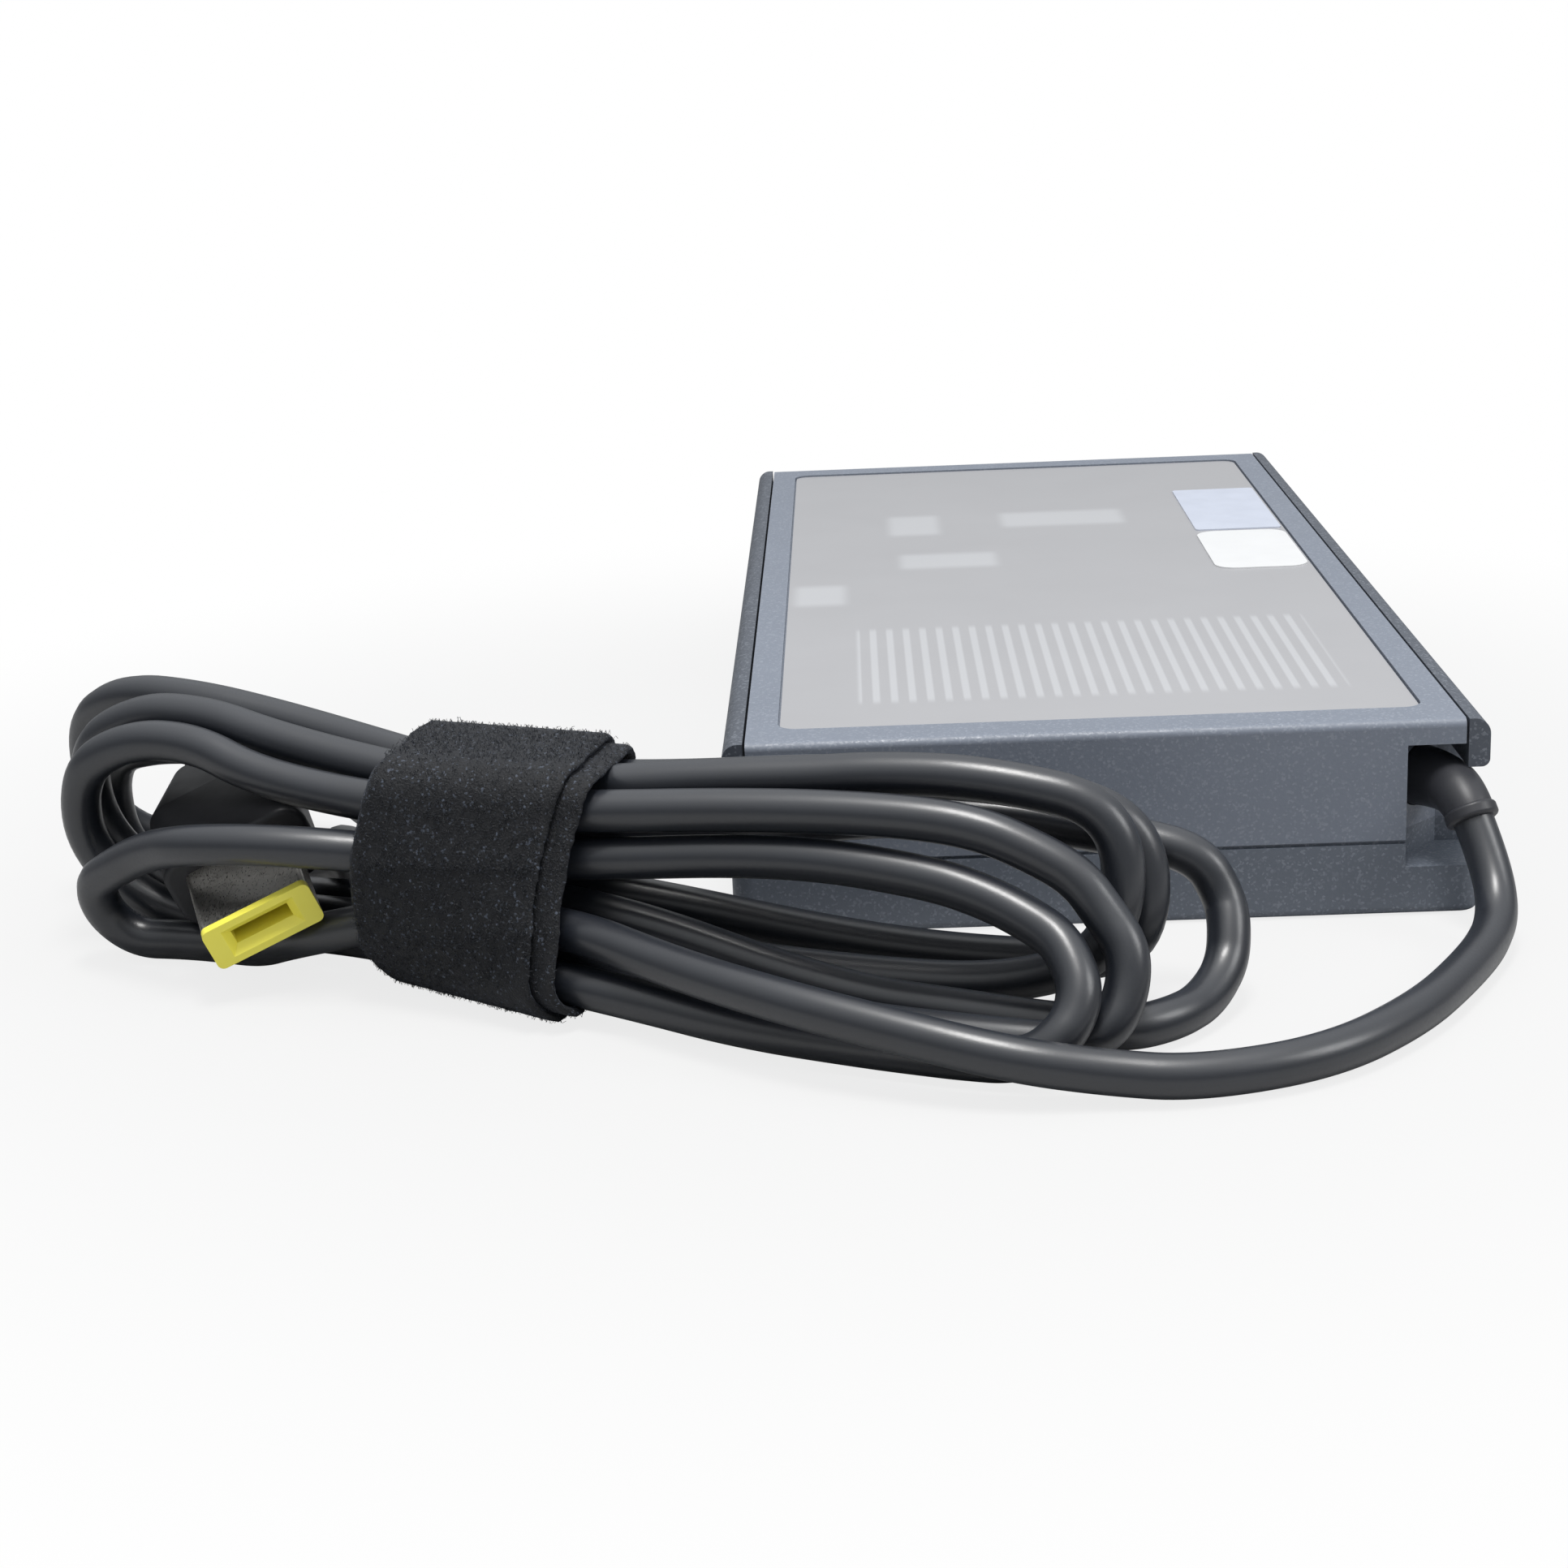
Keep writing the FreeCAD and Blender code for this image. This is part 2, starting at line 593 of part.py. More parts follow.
def least_gap(points, others, apart):
    cell = CORD_D + 2.0
    places = {}
    for number, point in enumerate(others):
        key = (int(point.x // cell), int(point.y // cell), int(point.z // cell))
        places.setdefault(key, []).append(number)
    least = cell
    for number, point in enumerate(points):
        x, y, z = int(point.x // cell), int(point.y // cell), int(point.z // cell)
        for near in [(x + i, y + j, z + k) for i in (-1, 0, 1) for j in (-1, 0, 1) for k in (-1, 0, 1)]:
            for other in places.get(near, ()):
                if abs(other - number) >= apart:
                    least = min(least, (others[other] - point).Length)
    return least - CORD_D


hank_points = sample(hank_wire, 1.0)
print("dc_cord_hank least gap to itself %.2f" % least_gap(hank_points, hank_points, 16))

# Cord from the boot to the strap, and from the strap to the plug
lead_end = strand("lead", True)[0]
lead_route = [
    boot_end,
    boot_end + boot_down * 4.6,
    V(36.6, -81.6, 3.6),
    V(34.9, -86.0, CORD_R + 0.1),
    V(31.0, -93.4, CORD_R),
    V(24.8, -103.2, CORD_R),
    V(15.4, -112.4, CORD_R),
    V(3.5, -116.2, CORD_R),
    in_hank(62.0, -18.6, 2.7),
    in_hank(54.8, -20.6, 4.1),
    in_hank(46.0, -20.2, 5.5),
    in_hank(33.0, -17.6, 6.9),
    in_hank(21.5, -12.3, 7.3),
    lead_end[0] - lead_end[1] * 4.4,
    lead_end[0],
]
lead_wire = corner_wire(lead_route)
lead = tube(lead_wire, CORD_R)
report_tube("dc_cord_lead", lead_wire, lead, CORD_R)
save("dc_cord_lead", lead)
lead_points = sample(lead_wire, 1.0)
print("lead to hank %.2f" % least_gap(lead_points, hank_points[24:], 0))

plug_tip = in_hank(-20.0, -9.3, 7.5)
level_back = heading(-0.55, 0.815, 0)
tilt = math.radians(PLUG_TILT)
roll = math.radians(PLUG_ROLL)
plug_back = level_back * math.cos(tilt) + up * math.sin(tilt)
level_right = plug_back.cross(up).normalize()
square_up = level_right.cross(plug_back)
plug_right = level_right * math.cos(roll) + square_up * math.sin(roll)
plug_up = square_up * math.cos(roll) - level_right * math.sin(roll)
plug_place = FreeCAD.Placement(FreeCAD.Matrix(
    plug_right.x, plug_back.x, plug_up.x, plug_tip.x,
    plug_right.y, plug_back.y, plug_up.y, plug_tip.y,
    plug_right.z, plug_back.z, plug_up.z, plug_tip.z,
    0, 0, 0, 1,
))
taper_from = SHELL_LONG + HOUSING_LONG
relief_from = taper_from + TAPER_LONG
plug_long = relief_from + RELIEF_LONG
plug_rear = plug_tip + plug_back * plug_long
tail_start = strand("mid_2", True)[1]
tail_route = [
    tail_start[0],
    tail_start[0] + tail_start[1] * 3.2,
    in_hank(-14.4, 12.4, 8.4),
    in_hank(-16.8, 19.5, 6.4),
    in_hank(-20.5, 29.5, 2.8),
    in_hank(-31.0, 39.0, 3.0),
    in_hank(-39.5, 41.5, 8.0),
    in_hank(-45.8, 36.5, 14.6),
    plug_rear + plug_back * 7.5,
    plug_rear,
]
tail_wire = corner_wire(tail_route)
tail = tube(tail_wire, CORD_R)
report_tube("dc_cord_tail", tail_wire, tail, CORD_R)
save("dc_cord_tail", tail)
tail_points = sample(tail_wire, 1.0)
print("tail to hank %.2f" % least_gap(tail_points, hank_points[:-24], 0))
print("tail to itself %.2f" % least_gap(tail_points, tail_points, 14))
print("cord length %.0f" % (lead_wire.Length + hank_wire.Length + tail_wire.Length))


# Plug, made pointing along -Y and then laid down
def slab(wide, high, y0, y1, radius):
    body = block(-wide / 2, wide / 2, y0, y1, -high / 2, high / 2)
    return rounded(body, radius, lambda edge: abs(edge.Vertexes[0].Y - edge.Vertexes[-1].Y) > 1e-6)


def rim(wide, high, y):
    signs = ((-1, -1), (1, -1), (1, 1), (-1, 1), (-1, -1))
    return Part.makePolygon([V(sx * wide / 2, y, sz * high / 2) for sx, sz in signs])


def lay(name, shape):
    shape.Placement = plug_place.multiply(shape.Placement)
    save(name, shape)


insulator = slab(TIP_W, TIP_H, 0, TIP_RIM, 0.7)
core_x = TIP_W / 2 - SHELL_STEP - SHELL_T - 0.05
core_z = TIP_H / 2 - SHELL_STEP - SHELL_T - 0.05
insulator = insulator.fuse(block(-core_x, core_x, TIP_RIM - 0.1, SLOT_DEEP + 1, -core_z, core_z))
insulator = insulator.cut(block(-SLOT_W / 2, SLOT_W / 2, -1, SLOT_DEEP, -SLOT_H / 2, SLOT_H / 2))
mouth = rim(SLOT_W + 2 * FUNNEL, SLOT_H + 2 * FUNNEL, -0.01)
throat = rim(SLOT_W, SLOT_H, FUNNEL)
insulator = insulator.cut(Part.makeLoft([mouth, throat], True, True))
lay("plug_insulator", insulator.removeSplitter())
shell_w = TIP_W - 2 * SHELL_STEP
shell_h = TIP_H - 2 * SHELL_STEP
shell = slab(shell_w, shell_h, TIP_RIM, SHELL_LONG, 0.6)
shell = shell.cut(block(
    -shell_w / 2 + SHELL_T,
    shell_w / 2 - SHELL_T,
    0,
    SHELL_LONG + 1,
    -shell_h / 2 + SHELL_T,
    shell_h / 2 - SHELL_T,
))
lay("plug_shell", shell)
lay("plug_centre_pin", cylinder((0, 3.0, 0), (0, 1, 0), 0.35, SLOT_DEEP - 3.0))
contact_gap = SLOT_H / 2 - 0.15
contact = block(-2.2, -0.8, 2.5, SLOT_DEEP, contact_gap, SLOT_H / 2)
lay("plug_contact_left", contact)
contact = block(0.8, 2.2, 2.5, SLOT_DEEP, contact_gap, SLOT_H / 2)
lay("plug_contact_right", contact)
housing_body = slab(HOUSING_W, HOUSING_H, SHELL_LONG, taper_from, 2.4)
edges = [e for e in housing_body.Edges if abs(e.CenterOfMass.y - SHELL_LONG) < 1e-6]
housing_body = housing_body.makeFillet(0.6, edges)


def soft_rim(wide, high, y, radius):
    x = wide / 2
    z = high / 2
    r = radius
    s = r * (1 - math.sqrt(0.5))
    edges = [
        Part.LineSegment(V(-x + r, y, -z), V(x - r, y, -z)).toShape(),
        Part.Arc(V(x - r, y, -z), V(x - s, y, -z + s), V(x, y, -z + r)).toShape(),
        Part.LineSegment(V(x, y, -z + r), V(x, y, z - r)).toShape(),
        Part.Arc(V(x, y, z - r), V(x - s, y, z - s), V(x - r, y, z)).toShape(),
        Part.LineSegment(V(x - r, y, z), V(-x + r, y, z)).toShape(),
        Part.Arc(V(-x + r, y, z), V(-x + s, y, z - s), V(-x, y, z - r)).toShape(),
        Part.LineSegment(V(-x, y, z - r), V(-x, y, -z + r)).toShape(),
        Part.Arc(V(-x, y, -z + r), V(-x + s, y, -z + s), V(-x + r, y, -z)).toShape(),
    ]
    return Part.Wire(edges)


taper = Part.makeLoft(
    [soft_rim(HOUSING_W, HOUSING_H, taper_from, 2.4), soft_rim(9, 7, relief_from, 2.4)],
    True,
    True,
)
lay("plug_housing", housing_body.fuse(taper).removeSplitter())
relief = Part.makeCone(3.3, 2.5, RELIEF_LONG, V(0, relief_from, 0), V(0, 1, 0))
for number in range(3):
    y = relief_from + 1.6 + 2.0 * number
    slot = cylinder((0, y, 0), (0, 1, 0), 5, 0.7).cut(cylinder((0, y, 0), (0, 1, 0), 2.3, 0.7))
    relief = relief.cut(slot.cut(block(-5, 5, 0, 60, -0.9, 0.9)))
lay("plug_strain_relief", relief)

# Strap: two layers round the strands, and a tab of hooks on the back of the outer one
HULL_RIGHT = [(-9.4, 4.0), (2.5, 4.0), (4.7, 13.5), (4.9, 19.6), (-4.5, 19.6), (-6.6, 13.9), (-8.4, 8.5)]
HULL_LEFT = [(-2.0, 4.0), (7.9, 4.0), (7.3, 9.0), (5.0, 20.2), (-3.6, 19.6), (-4.9, 13.6), (-4.7, 8.0)]


def hull_at(a):
    share = (a - RIM_LEFT) / (RIM_RIGHT - RIM_LEFT)
    return [
        (ln + (rn - ln) * share, lz + (rz - lz) * share)
        for (rn, rz), (ln, lz) in zip(HULL_RIGHT, HULL_LEFT)
    ]


def outline(a, radius):
    hull = hull_at(a)
    count = len(hull)
    normals = []
    for number in range(count):
        (n0, z0), (n1, z1) = hull[number], hull[(number + 1) % count]
        size = math.hypot(n1 - n0, z1 - z0)
        normals.append(((z1 - z0) / size, -(n1 - n0) / size))
    edges = []
    for number in range(count):
        here = hull[number]
        ahead = hull[(number + 1) % count]
        before_normal = normals[number - 1]
        normal = normals[number]
        mid = (before_normal[0] + normal[0], before_normal[1] + normal[1])
        size = math.hypot(*mid)
        a0 = in_hank(a, here[0] + before_normal[0] * radius, here[1] + before_normal[1] * radius)
        am = in_hank(a, here[0] + mid[0] / size * radius, here[1] + mid[1] / size * radius)
        a1 = in_hank(a, here[0] + normal[0] * radius, here[1] + normal[1] * radius)
        b1 = in_hank(a, ahead[0] + normal[0] * radius, ahead[1] + normal[1] * radius)
        edges.append(Part.Arc(a0, am, a1).toShape())
        edges.append(Part.LineSegment(a1, b1).toShape())
    return Part.Wire(edges)


def sleeve(left, right, radius):
    places = [left + (right - left) * step / SLEEVE_STEPS for step in range(SLEEVE_STEPS + 1)]
    return Part.makeLoft([outline(a, radius) for a in places], True, True)


def band(left, right, inner_r):
    return sleeve(left, right, inner_r + STRAP_T).cut(sleeve(left - 1, right + 1, inner_r))


inner_r = CORD_R + STRAP_CLEAR
outer_r = inner_r + STRAP_T + STRAP_LAYER_GAP
save("strap_inner_layer", band(INNER_LEFT, INNER_RIGHT, inner_r))
save("strap_outer_layer", band(OUTER_LEFT, OUTER_RIGHT, outer_r))


def tab_outline(a):
    hull = hull_at(a)
    (n0, z0), (n1, z1) = hull[3], hull[2]
    size = math.hypot(n1 - n0, z1 - z0)
    down = ((n1 - n0) / size, (z1 - z0) / size)
    out = (-down[1], down[0])
    near = outer_r + STRAP_T + TAB_GAP
    corners = []
    for reach, lift in ((0.6, near), (TAB_LONG, near), (TAB_LONG, near + STRAP_T), (0.6, near + STRAP_T)):
        corners.append(in_hank(a, n0 + down[0] * reach + out[0] * lift, z0 + down[1] * reach + out[1] * lift))
    hinge_n = n0 + down[0] * 0.9 + out[0] * (near + STRAP_T / 2)
    hinge_z = z0 + down[1] * 0.9 + out[1] * (near + STRAP_T / 2)
    return Part.makePolygon(corners + corners[:1]), in_hank(a, hinge_n, hinge_z)


left_rim, hinge_left = tab_outline(TAB_LEFT)
right_rim, hinge_right = tab_outline(TAB_RIGHT)
save("strap_hook_tab", Part.makeLoft([left_rim, right_rim], True, True))
hinge_axis = (hinge_right - hinge_left).normalize()
print("tab hinge at", hinge_left, "axis", hinge_axis)

for name, shape in sorted(made.items()):
    if not shape.isValid() or len(shape.Solids) != 1:
        print("look at", name, shape.isValid(), len(shape.Solids))
print(len(made), "nodes")
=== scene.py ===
"""Laptop power adapter with its wound DC cord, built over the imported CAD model."""
import math
import random

import bmesh
import bpy
from mathutils import Matrix, Vector, noise


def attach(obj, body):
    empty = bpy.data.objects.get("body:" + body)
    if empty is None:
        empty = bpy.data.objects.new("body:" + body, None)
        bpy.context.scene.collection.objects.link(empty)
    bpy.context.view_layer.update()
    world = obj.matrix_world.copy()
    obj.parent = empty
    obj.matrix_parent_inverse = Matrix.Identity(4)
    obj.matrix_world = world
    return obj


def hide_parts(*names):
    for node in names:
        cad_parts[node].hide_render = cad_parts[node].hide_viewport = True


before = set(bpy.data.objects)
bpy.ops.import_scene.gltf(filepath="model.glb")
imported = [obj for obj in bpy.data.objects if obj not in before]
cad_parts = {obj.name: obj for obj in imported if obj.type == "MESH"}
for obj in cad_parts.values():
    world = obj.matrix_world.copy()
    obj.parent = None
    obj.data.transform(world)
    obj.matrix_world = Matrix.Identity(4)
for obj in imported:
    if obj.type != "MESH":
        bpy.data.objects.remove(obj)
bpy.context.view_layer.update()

bl_info = {
    "name": "Laptop power adapter",
    "version": (1, 0, 0),
    "blender": (4, 5, 0),
    "location": "3D View > Sidebar > Adapter",
    "description": "Adds the cord, the strap and the materials of a laptop power adapter",
    "category": "Add Mesh",
}

MM = 0.001
ROOT = "adapter"
TAB = "strap_tab"


def srgb(code):
    """A linear RGBA colour from an sRGB hex code."""
    values = []
    for start in (0, 2, 4):
        value = int(code[start:start + 2], 16) / 255
        values.append(value / 12.92 if value <= 0.04045 else ((value + 0.055) / 1.055) ** 2.4)
    return (*values, 1.0)


def tone_setting(name, code):
    """A colour setting, its default given as an sRGB hex code."""
    return bpy.props.FloatVectorProperty(
        name=name,
        description="One of the two tones that the finish drifts between",
        default=srgb(code),
        size=4,
        min=0.0,
        max=1.0,
        subtype="COLOR",
    )


class AdapterSettings(bpy.types.PropertyGroup):
    """Sizes and colours that the operators read."""

    cord_diameter: bpy.props.FloatProperty(
        name="Cord diameter",
        description="Outer diameter of the DC cord",
        default=0.004,
        min=0.001,
        subtype="DISTANCE",
        unit="LENGTH",
    )
    strap_thickness: bpy.props.FloatProperty(
        name="Strap thickness",
        description="Thickness of one layer of the hook-and-loop strap",
        default=0.00085,
        min=0.0002,
        subtype="DISTANCE",
        unit="LENGTH",
    )
    pile_height: bpy.props.FloatProperty(
        name="Pile height",
        description="Height of the loops that stand on the strap",
        default=0.00026,
        min=0.0,
        subtype="DISTANCE",
        unit="LENGTH",
    )
    pile_count: bpy.props.IntProperty(
        name="Pile loops",
        description="Number of loops on the strap's outer layer",
        default=11500,
        min=0,
    )
    cord_dark: tone_setting("Cord, darker tone", "15181f")
    cord_light: tone_setting("Cord, lighter tone", "1d222b")
    # The two housings are one plastic: their tone pairs differ as painted light and shade, the lower
    # housing darker
    cover_dark: tone_setting("Upper housing, darker tone", "6f7682")
    cover_light: tone_setting("Upper housing, lighter tone", "787f8c")
    base_dark: tone_setting("Lower housing, darker tone", "5c636e")
    base_light: tone_setting("Lower housing, lighter tone", "646b76")
    rail_dark: tone_setting("Side rails, darker tone", "454a53")
    rail_light: tone_setting("Side rails, lighter tone", "4d535d")
    label_dark: tone_setting("Label, darker tone", "9f9fa2")
    label_light: tone_setting("Label, lighter tone", "a9a9ac")
    strap_dark: tone_setting("Strap, darker tone", "06080c")
    strap_light: tone_setting("Strap, lighter tone", "0e1118")


# Hank frame, as in the CAD model: along the wound cord, across it to the back, and up
HANK_ORIGIN = Vector((-59.4, -81.8, 0.0))
HANK_TURN = math.radians(15.0)
ALONG = Vector((math.cos(HANK_TURN), -math.sin(HANK_TURN), 0.0))
ACROSS = Vector((math.sin(HANK_TURN), math.cos(HANK_TURN), 0.0))
UP = Vector((0.0, 0.0, 1.0))


def in_hank(a, n, z):
    """A point of the hank frame, in millimetres."""
    return HANK_ORIGIN + ALONG * a + ACROSS * n + UP * z


def heading(a, n, z):
    """A direction of the hank frame."""
    return (ALONG * a + ACROSS * n + UP * z).normalized()


# Cord route: the CAD model's gates in the hank frame, some of them moved and some added
CORD_R = 2.0
RIM_RIGHT = 9.0
RIM_LEFT = -10.0
STRANDS = {
    "lead": ((-5.9, 8.7), (-4.0, 8.5)),
    "low_1": ((-9.4, 4.0), (-1.9, 4.0)),
    "low_2": ((-3.8, 4.0), (3.0, 4.0)),
    "low_3": ((2.1, 4.0), (7.9, 4.0)),
    "mid_1": ((-1.3, 8.6), (0.8, 8.6)),
    "mid_2": ((3.4, 8.6), (7.0, 8.7)),
    "high_1": ((-4.6, 14.2), (-4.6, 13.6)),
    "high_2": ((4.6, 13.5), (4.8, 13.5)),
    "top_1": ((-4.5, 18.8), (-3.9, 18.2)),
    "top_2": ((0.1, 19.5), (0.5, 19.9)),
    "top_3": ((4.7, 19.0), (5.0, 19.6)),
}


def strand(name, leftward):
    """The gate of a strand in the middle of the strap, in the direction the cord passes it."""
    right = in_hank(RIM_RIGHT, *STRANDS[name][0])
    left = in_hank(RIM_LEFT, *STRANDS[name][1])
    way = (left - right if leftward else right - left).normalized()
    return [((left + right) / 2, way)]


def gate(a, n, z, da, dn, dz):
    """A point that the cord passes and its direction there."""
    return (in_hank(a, n, z), heading(da, dn, dz))


def floor_gate(a, n, da=-1, dn=0):
    """A gate on the table."""
    return gate(a, n, CORD_R, da, dn, 0)


LEFT_ENDS = [
    [
        gate(-17.0, -4.1, 5.1, -0.94, 0.1, -0.26),
        floor_gate(-28, -0.5, -1, 0.14),
        floor_gate(-36.6, -0.3, -1, -0.1),
        gate(-41.6, -2.2, 6.7, 0.0, -0.35, 0.93),
        gate(-36.9, -4.5, 11.5, 0.85, -0.25, 0.45),
        gate(-23.5, -8.2, 15.2, 1, 0.02, 0.03),
    ],
    [
        floor_gate(-30.5, 4.5),
        gate(-45.7, 3.2, 14.5, 0.12, -0.2, 1),
        gate(-34, 1, 22.4, 1, -0.1, 0),
        gate(-20.6, -1.8, 19.7, 1, -0.14, -0.16),
    ],
    [
        floor_gate(-30.0, 9.4),
        gate(-47, 7.8, 15, 0, -0.2, 1),
        gate(-35, 5.5, 23.9, 1, -0.1, 0),
        gate(-20.9, 2.8, 21.9, 1, -0.16, -0.17),
    ],
    [
        floor_gate(-28.7, 14.4),
        gate(-48.2, 13.8, 11.0, 0, -0.15, 1),
        gate(-32.5, 7.6, 20.0, 1, -0.12, 0),
        gate(-20, 5.8, 17.4, 0.96, -0.07, -0.24),
    ],
    [
        gate(-19.1, 8.8, 9.7, -0.72, 0.74, -0.16),
        floor_gate(-30.3, 23.0, -0.95, 0.25),
        gate(-52.5, 17.0, 14.5, 0, -0.25, 1),
        gate(-40.5, 12.2, 23.8, 1, -0.14, -0.02),
        gate(-21.4, 9.6, 21.4, 0.97, -0.21, -0.15),
    ],
]
RIGHT_ENDS = [
    [
        gate(41.0, -5.8, 15.15, 1, -0.08, -0.08),
        gate(52.5, -7.7, 12.6, 0.91, -0.26, -0.33),
        gate(57.5, -10.4, 10.0, 0.55, -0.57, -0.6),
        gate(58.9, -13.3, 6.6, -0.1, -0.6, -0.79),
        gate(57.0, -15.6, 3.6, -0.75, -0.28, -0.6),
        floor_gate(51.5, -16.0, -1, 0.02),
        floor_gate(46, -15.6, -1, 0.13),
        gate(23, -11.6, 2.6, -1, 0.28, 0.06),
    ],
    [
        gate(38, -4.8, 20.1, 1, 0, 0),
        gate(52.1, -5.0, 18.0, 0.93, -0.05, -0.36),
        gate(59.0, -5.8, 13.7, 0.62, -0.22, -0.75),
        gate(62.5, -8.2, 8.0, 0.04, -0.42, -0.9),
        gate(59.6, -11.2, 2.8, -0.9, -0.1, -0.36),
        floor_gate(54.5, -11.4, -1, 0.03),
        floor_gate(46, -10.8, -1, 0.11),
        gate(24, -6.8, 2.6, -1, 0.2, 0.05),
    ],
    [
        gate(28.9, 0, 21.6, 1, 0, 0.07),
        gate(42, 0, 22.5, 1, 0, 0),
        gate(60.8, -0.4, 13.6, 0, -0.2, -0.98),
        floor_gate(44.9, 1.5),
    ],
    [
        gate(58, 9.2, 14.7, 1, 0.06, -0.14),
        gate(67.8, 9.6, 10.2, 0.5, -0.08, -0.86),
        gate(69.3, 6.9, 5.8, 0.02, -0.6, -0.8),
        floor_gate(67.0, -1.4, -0.4, -0.92),
        floor_gate(59.5, -7.2, -1, 0.04),
        floor_gate(46, -5.2, -1, 0.2),
    ],
    [
        gate(48, 4.8, 20.6, 1, 0, -0.03),
        gate(62.4, 4.0, 11.6, 0, -0.2, -0.98),
        floor_gate(46, 8.8, -1, 0.1),
    ],
]
OUTGOING = ["lead", "low_1", "low_2", "low_3", "mid_1"]
RETURNING = ["high_1", "top_1", "top_2", "high_2", "top_3"]

BOOT_END = Vector((35.4, -75.5, 10.5))
BOOT_DOWN = Vector((0.25, -0.55, -0.80)).normalized()
BOOT_RUN = 4.6

# Differences below these count as none: between two directions, and off a straight line
SAME_WAY = 1e-9
IN_LINE = 1e-5


def turn_corners(p0, t0, p1, t1):
    """The corners of a smooth turn between two gates: one ahead of the first, one behind the next."""
    span = p1 - p0
    same = 2 * (t0.dot(t1) - 1)
    onward = -2 * span.dot(t0 + t1)
    if abs(same) < SAME_WAY:
        arm = -span.dot(span) / onward
    else:
        root = math.sqrt(onward * onward - 4 * same * span.dot(span))
        arm = (-onward - root) / (2 * same)
        if arm < 0:
            arm = (-onward + root) / (2 * same)
    return p0 + t0 * arm, p1 - t1 * arm


def lead_points():
    """Route from the boot to the strap."""
    return [
        BOOT_END,
        BOOT_END + BOOT_DOWN * BOOT_RUN,
        Vector((36.6, -81.6, 3.6)),
        Vector((34.9, -86.0, CORD_R + 0.1)),
        Vector((31.0, -93.4, CORD_R)),
        Vector((24.8, -103.2, CORD_R)),
        Vector((15.4, -112.4, CORD_R)),
        Vector((3.5, -116.2, CORD_R)),
        in_hank(62.0, -18.6, 2.7),
        in_hank(54.8, -20.6, 4.1),
        in_hank(46.0, -20.2, 5.5),
        in_hank(33.0, -17.6, 6.9),
        in_hank(21.5, -12.3, 7.3),
        in_hank(11.0, -7.6, 8.6),
    ]


def hank_points():
    """Control points of the wound cord: the loops in turn, each with its left end and its right end."""
    gates = []
    for out, left_end, back, right_end in zip(OUTGOING, LEFT_ENDS, RETURNING, RIGHT_ENDS):
        gates += strand(out, True) + left_end + strand(back, False) + right_end
    gates += strand("mid_2", True)
    points = []
    for (p0, t0), (p1, t1) in zip(gates, gates[1:]):
        span = (p1 - p0).normalized()
        if span.cross(t0).length < IN_LINE and span.cross(t1).length < IN_LINE:
            points += [p0, p1]
        else:
            points += turn_corners(p0, t0, p1, t1)
    return points


# Plug placement, as in the CAD model
PLUG_TIP = in_hank(-20.0, -9.3, 7.5)
PLUG_LONG = 39.0
RELIEF_LONG = 7.5
PLUG_TILT = math.radians(11.0)
PLUG_BACK = heading(-0.55, 0.815, 0) * math.cos(PLUG_TILT) + UP * math.sin(PLUG_TILT)
PLUG_REAR = PLUG_TIP + PLUG_BACK * PLUG_LONG


def tail_points():
    """Route from the strap to the plug, without the first point, which ends the hank."""
    return [
        in_hank(-9.0, 6.8, 8.7),
        in_hank(-13.2, 8.4, 8.6),
        in_hank(-15.6, 12.6, 8.1),
        in_hank(-17.2, 19.5, 6.4),
        in_hank(-20.5, 29.5, 2.8),
        in_hank(-31.0, 39.0, 3.0),
        in_hank(-39.5, 41.5, 8.0),
        in_hank(-45.8, 36.5, 14.6),
        PLUG_REAR + PLUG_BACK * RELIEF_LONG,
        PLUG_REAR,
    ]


# Node helpers


def add(tree, kind, settings=None, links=None):
    """One node with its settings, socket values and links."""
    made = tree.nodes.new(kind)
    for name, value in (settings or {}).items():
        if isinstance(name, str) and name in made.bl_rna.properties:
            setattr(made, name, value)
        else:
            made.inputs[name].default_value = value
    for name, source in (links or {}).items():
        tree.links.new(source, made.inputs[name])
    return made


def new_material(name):
    """An empty node material: its tree, its shader and the object coordinates in millimetres."""
    made = bpy.data.materials.new(name)
    made.use_nodes = True
    tree = made.node_tree
    tree.nodes.clear()
    output = add(tree, "ShaderNodeOutputMaterial")
    shader = add(tree, "ShaderNodeBsdfPrincipled")
    tree.links.new(shader.outputs["BSDF"], output.inputs["Surface"])
    coords = add(tree, "ShaderNodeTexCoord")
    to_mm = add(
        tree,
        "ShaderNodeVectorMath",
        {"operation": "SCALE", "Scale": 1 / MM},
        {0: coords.outputs["Object"]},
    )
    return made, tree, shader, to_mm.outputs[0]


def mottled(tree, mm, size, low, high):
    """A soft noise between two colours, its blobs size millimetres across."""
    cloud = add(
        tree,
        "ShaderNodeTexNoise",
        {"Scale": 1 / size, "Detail": 4.0, "Roughness": 0.6},
        {"Vector": mm},
    )
    blend = add(
        tree,
        "ShaderNodeMix",
        {"data_type": "RGBA", 6: low, 7: high},
        {"Factor": cloud.outputs["Fac"]},
    )
    return blend.outputs[2]


def grain(tree, mm, size, strength, height=0.02):
    """A bump of grains size millimetres across and height millimetres high."""
    texture = add(tree, "ShaderNodeTexNoise", {"Scale": 1 / size, "Detail": 3.0}, {"Vector": mm})
    bump = add(
        tree,
        "ShaderNodeBump",
        {"Strength": strength, "Distance": height * MM},
        {"Height": texture.outputs["Fac"]},
    )
    return bump.outputs["Normal"]


# Clouds, grains and painted fabric glints to the millimetre, and the size of a grain of the jacket; the
# housing's grains carry painted glints too.
# The real grains of housing and jacket are under 0.1 mm, so they are drawn as coarse as they need to show
FINISH_CLOUDS = 0.35
JACKET_CLOUDS = 3.2
HOUSING_GRAINS_AND_GLINTS = 4.5
FABRIC_GLINTS = 5.0
JACKET_GRAIN = 0.16


